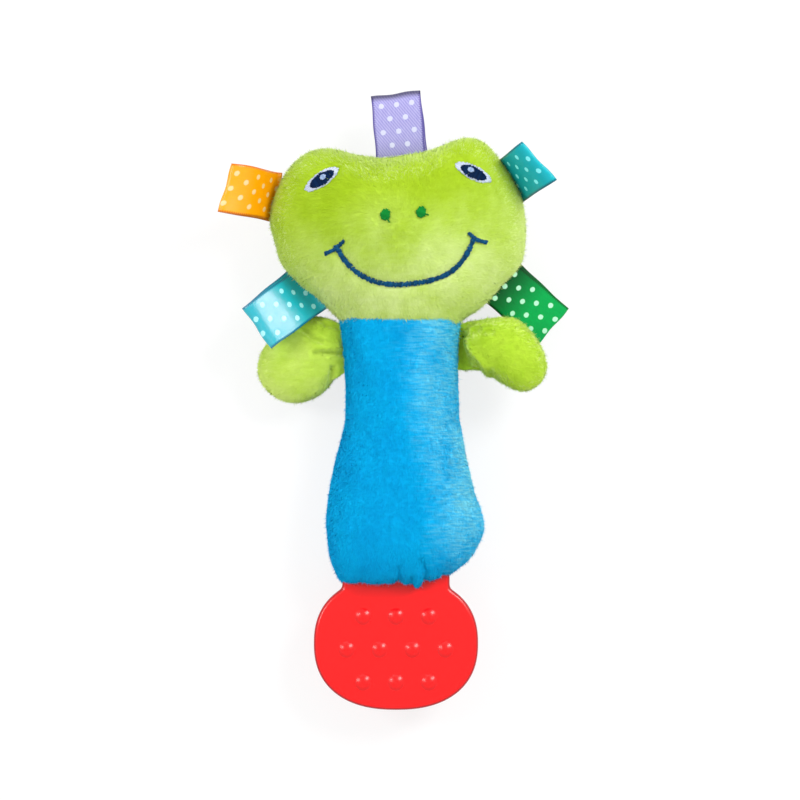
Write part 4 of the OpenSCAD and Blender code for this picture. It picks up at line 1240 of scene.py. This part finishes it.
points, faces, edge = plate_points()
for row in (-1, 0, 1):
    y = PLATE_Y - BUMP_DROP - row * BUMP_PITCH
    count = 4 - abs(row)
    for i in range(count):
        x = PLATE_X + (i - (count - 1) / 2) * BUMP_PITCH
        for side in (FRONT, BACK):
            more, more_faces, more_edge = bump_points(x, y, side)
            faces += [tuple(len(points) + k for k in f) for f in more_faces]
            points = np.concatenate([points, more])
            edge += more_edge
chew = make("chewing_plate", points, faces)
# The painted shade on the rim and on the bumps' flanks, for the rubber to darken by.
number_points(chew, "edge", edge)
give(chew, RED_RUBBER)
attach(chew, "chew_plate")
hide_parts("teether")


# Rattle inside the body: the CAD pieces with moulded plastic

for node in ("rattle_cup", "rattle_cap"):
    coat(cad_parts[node], WHITE_PLASTIC)
for number in range(1, 6):
    coat(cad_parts[f"bead_{number}"], YELLOW_PLASTIC)


# Floor, light and camera

FLOOR_HALF = 1500
# Share of its own light in the paper, where it is in sight.
PAPER_GLOW = 0.78
TOY_MIDDLE = Vector((0, 0, 0.02))
# The picture is square, with this many pixels to a side, and one pixel is this many millimetres.
PICTURE_PX = 800
PX_MM = 0.3226
DISTANCE = 1200.0
SENSOR_W = 36


def lamp(name, place, size, power):
    """A soft box that faces the toy."""
    data = bpy.data.lights.new(name, "AREA")
    data.shape = "RECTANGLE"
    data.size, data.size_y = size
    data.energy = power
    obj = bpy.data.objects.new(name, data)
    obj.location = place
    obj.rotation_euler = (TOY_MIDDLE - Vector(place)).to_track_quat("-Z", "Y").to_euler()
    bpy.context.collection.objects.link(obj)


corners = [(FLOOR_HALF * x, FLOOR_HALF * y, 0) for x, y in ((-1, -1), (1, -1), (1, 1), (-1, 1))]
floor = make("floor", corners, [(0, 1, 2, 3)])
paper = Shader(bpy.data.materials.new("white_paper"))
paper.set(Base_Color=(0.9, 0.9, 0.9, 1), Roughness=0.9)
bright = paper.node("ShaderNodeEmission", {"Color": (1, 1, 1, 1), "Strength": 1.0}).outputs[0]
paper.finish(paper.math("MULTIPLY", paper.in_sight(), PAPER_GLOW), paper.bsdf.outputs[0], bright)
floor.data.materials.append(paper.owner)

world = bpy.data.worlds.new("studio")
bpy.context.scene.world = world
studio = Shader(world)
glow = studio.node("ShaderNodeBackground", {"Color": (1, 1, 1, 1), "Strength": 0.75}).outputs[0]
plain = studio.node("ShaderNodeBackground", {"Color": (1, 1, 1, 1), "Strength": 1.0}).outputs[0]
studio.finish(studio.in_sight(), glow, plain)

lamp("right_softbox", (0.54, 0.44, 0.72), (0.3, 0.46), 7.0)
lamp("left_softbox", (-0.63, 0.2, 0.7), (0.24, 0.44), 3.6)
lamp("top_softbox", (-0.1, 0.85, 0.6), (0.8, 0.3), 0.7)

camera_data = bpy.data.cameras.new("camera")
camera = bpy.data.objects.new("camera", camera_data)
bpy.context.collection.objects.link(camera)
bpy.context.scene.camera = camera
camera.location = in_frame((0, 0, DISTANCE + SEAM_Z))
camera_data.sensor_width = SENSOR_W
camera_data.lens = SENSOR_W * DISTANCE / (PICTURE_PX * PX_MM)
camera_data.clip_end = 10

bpy.context.scene.view_settings.view_transform = "Standard"
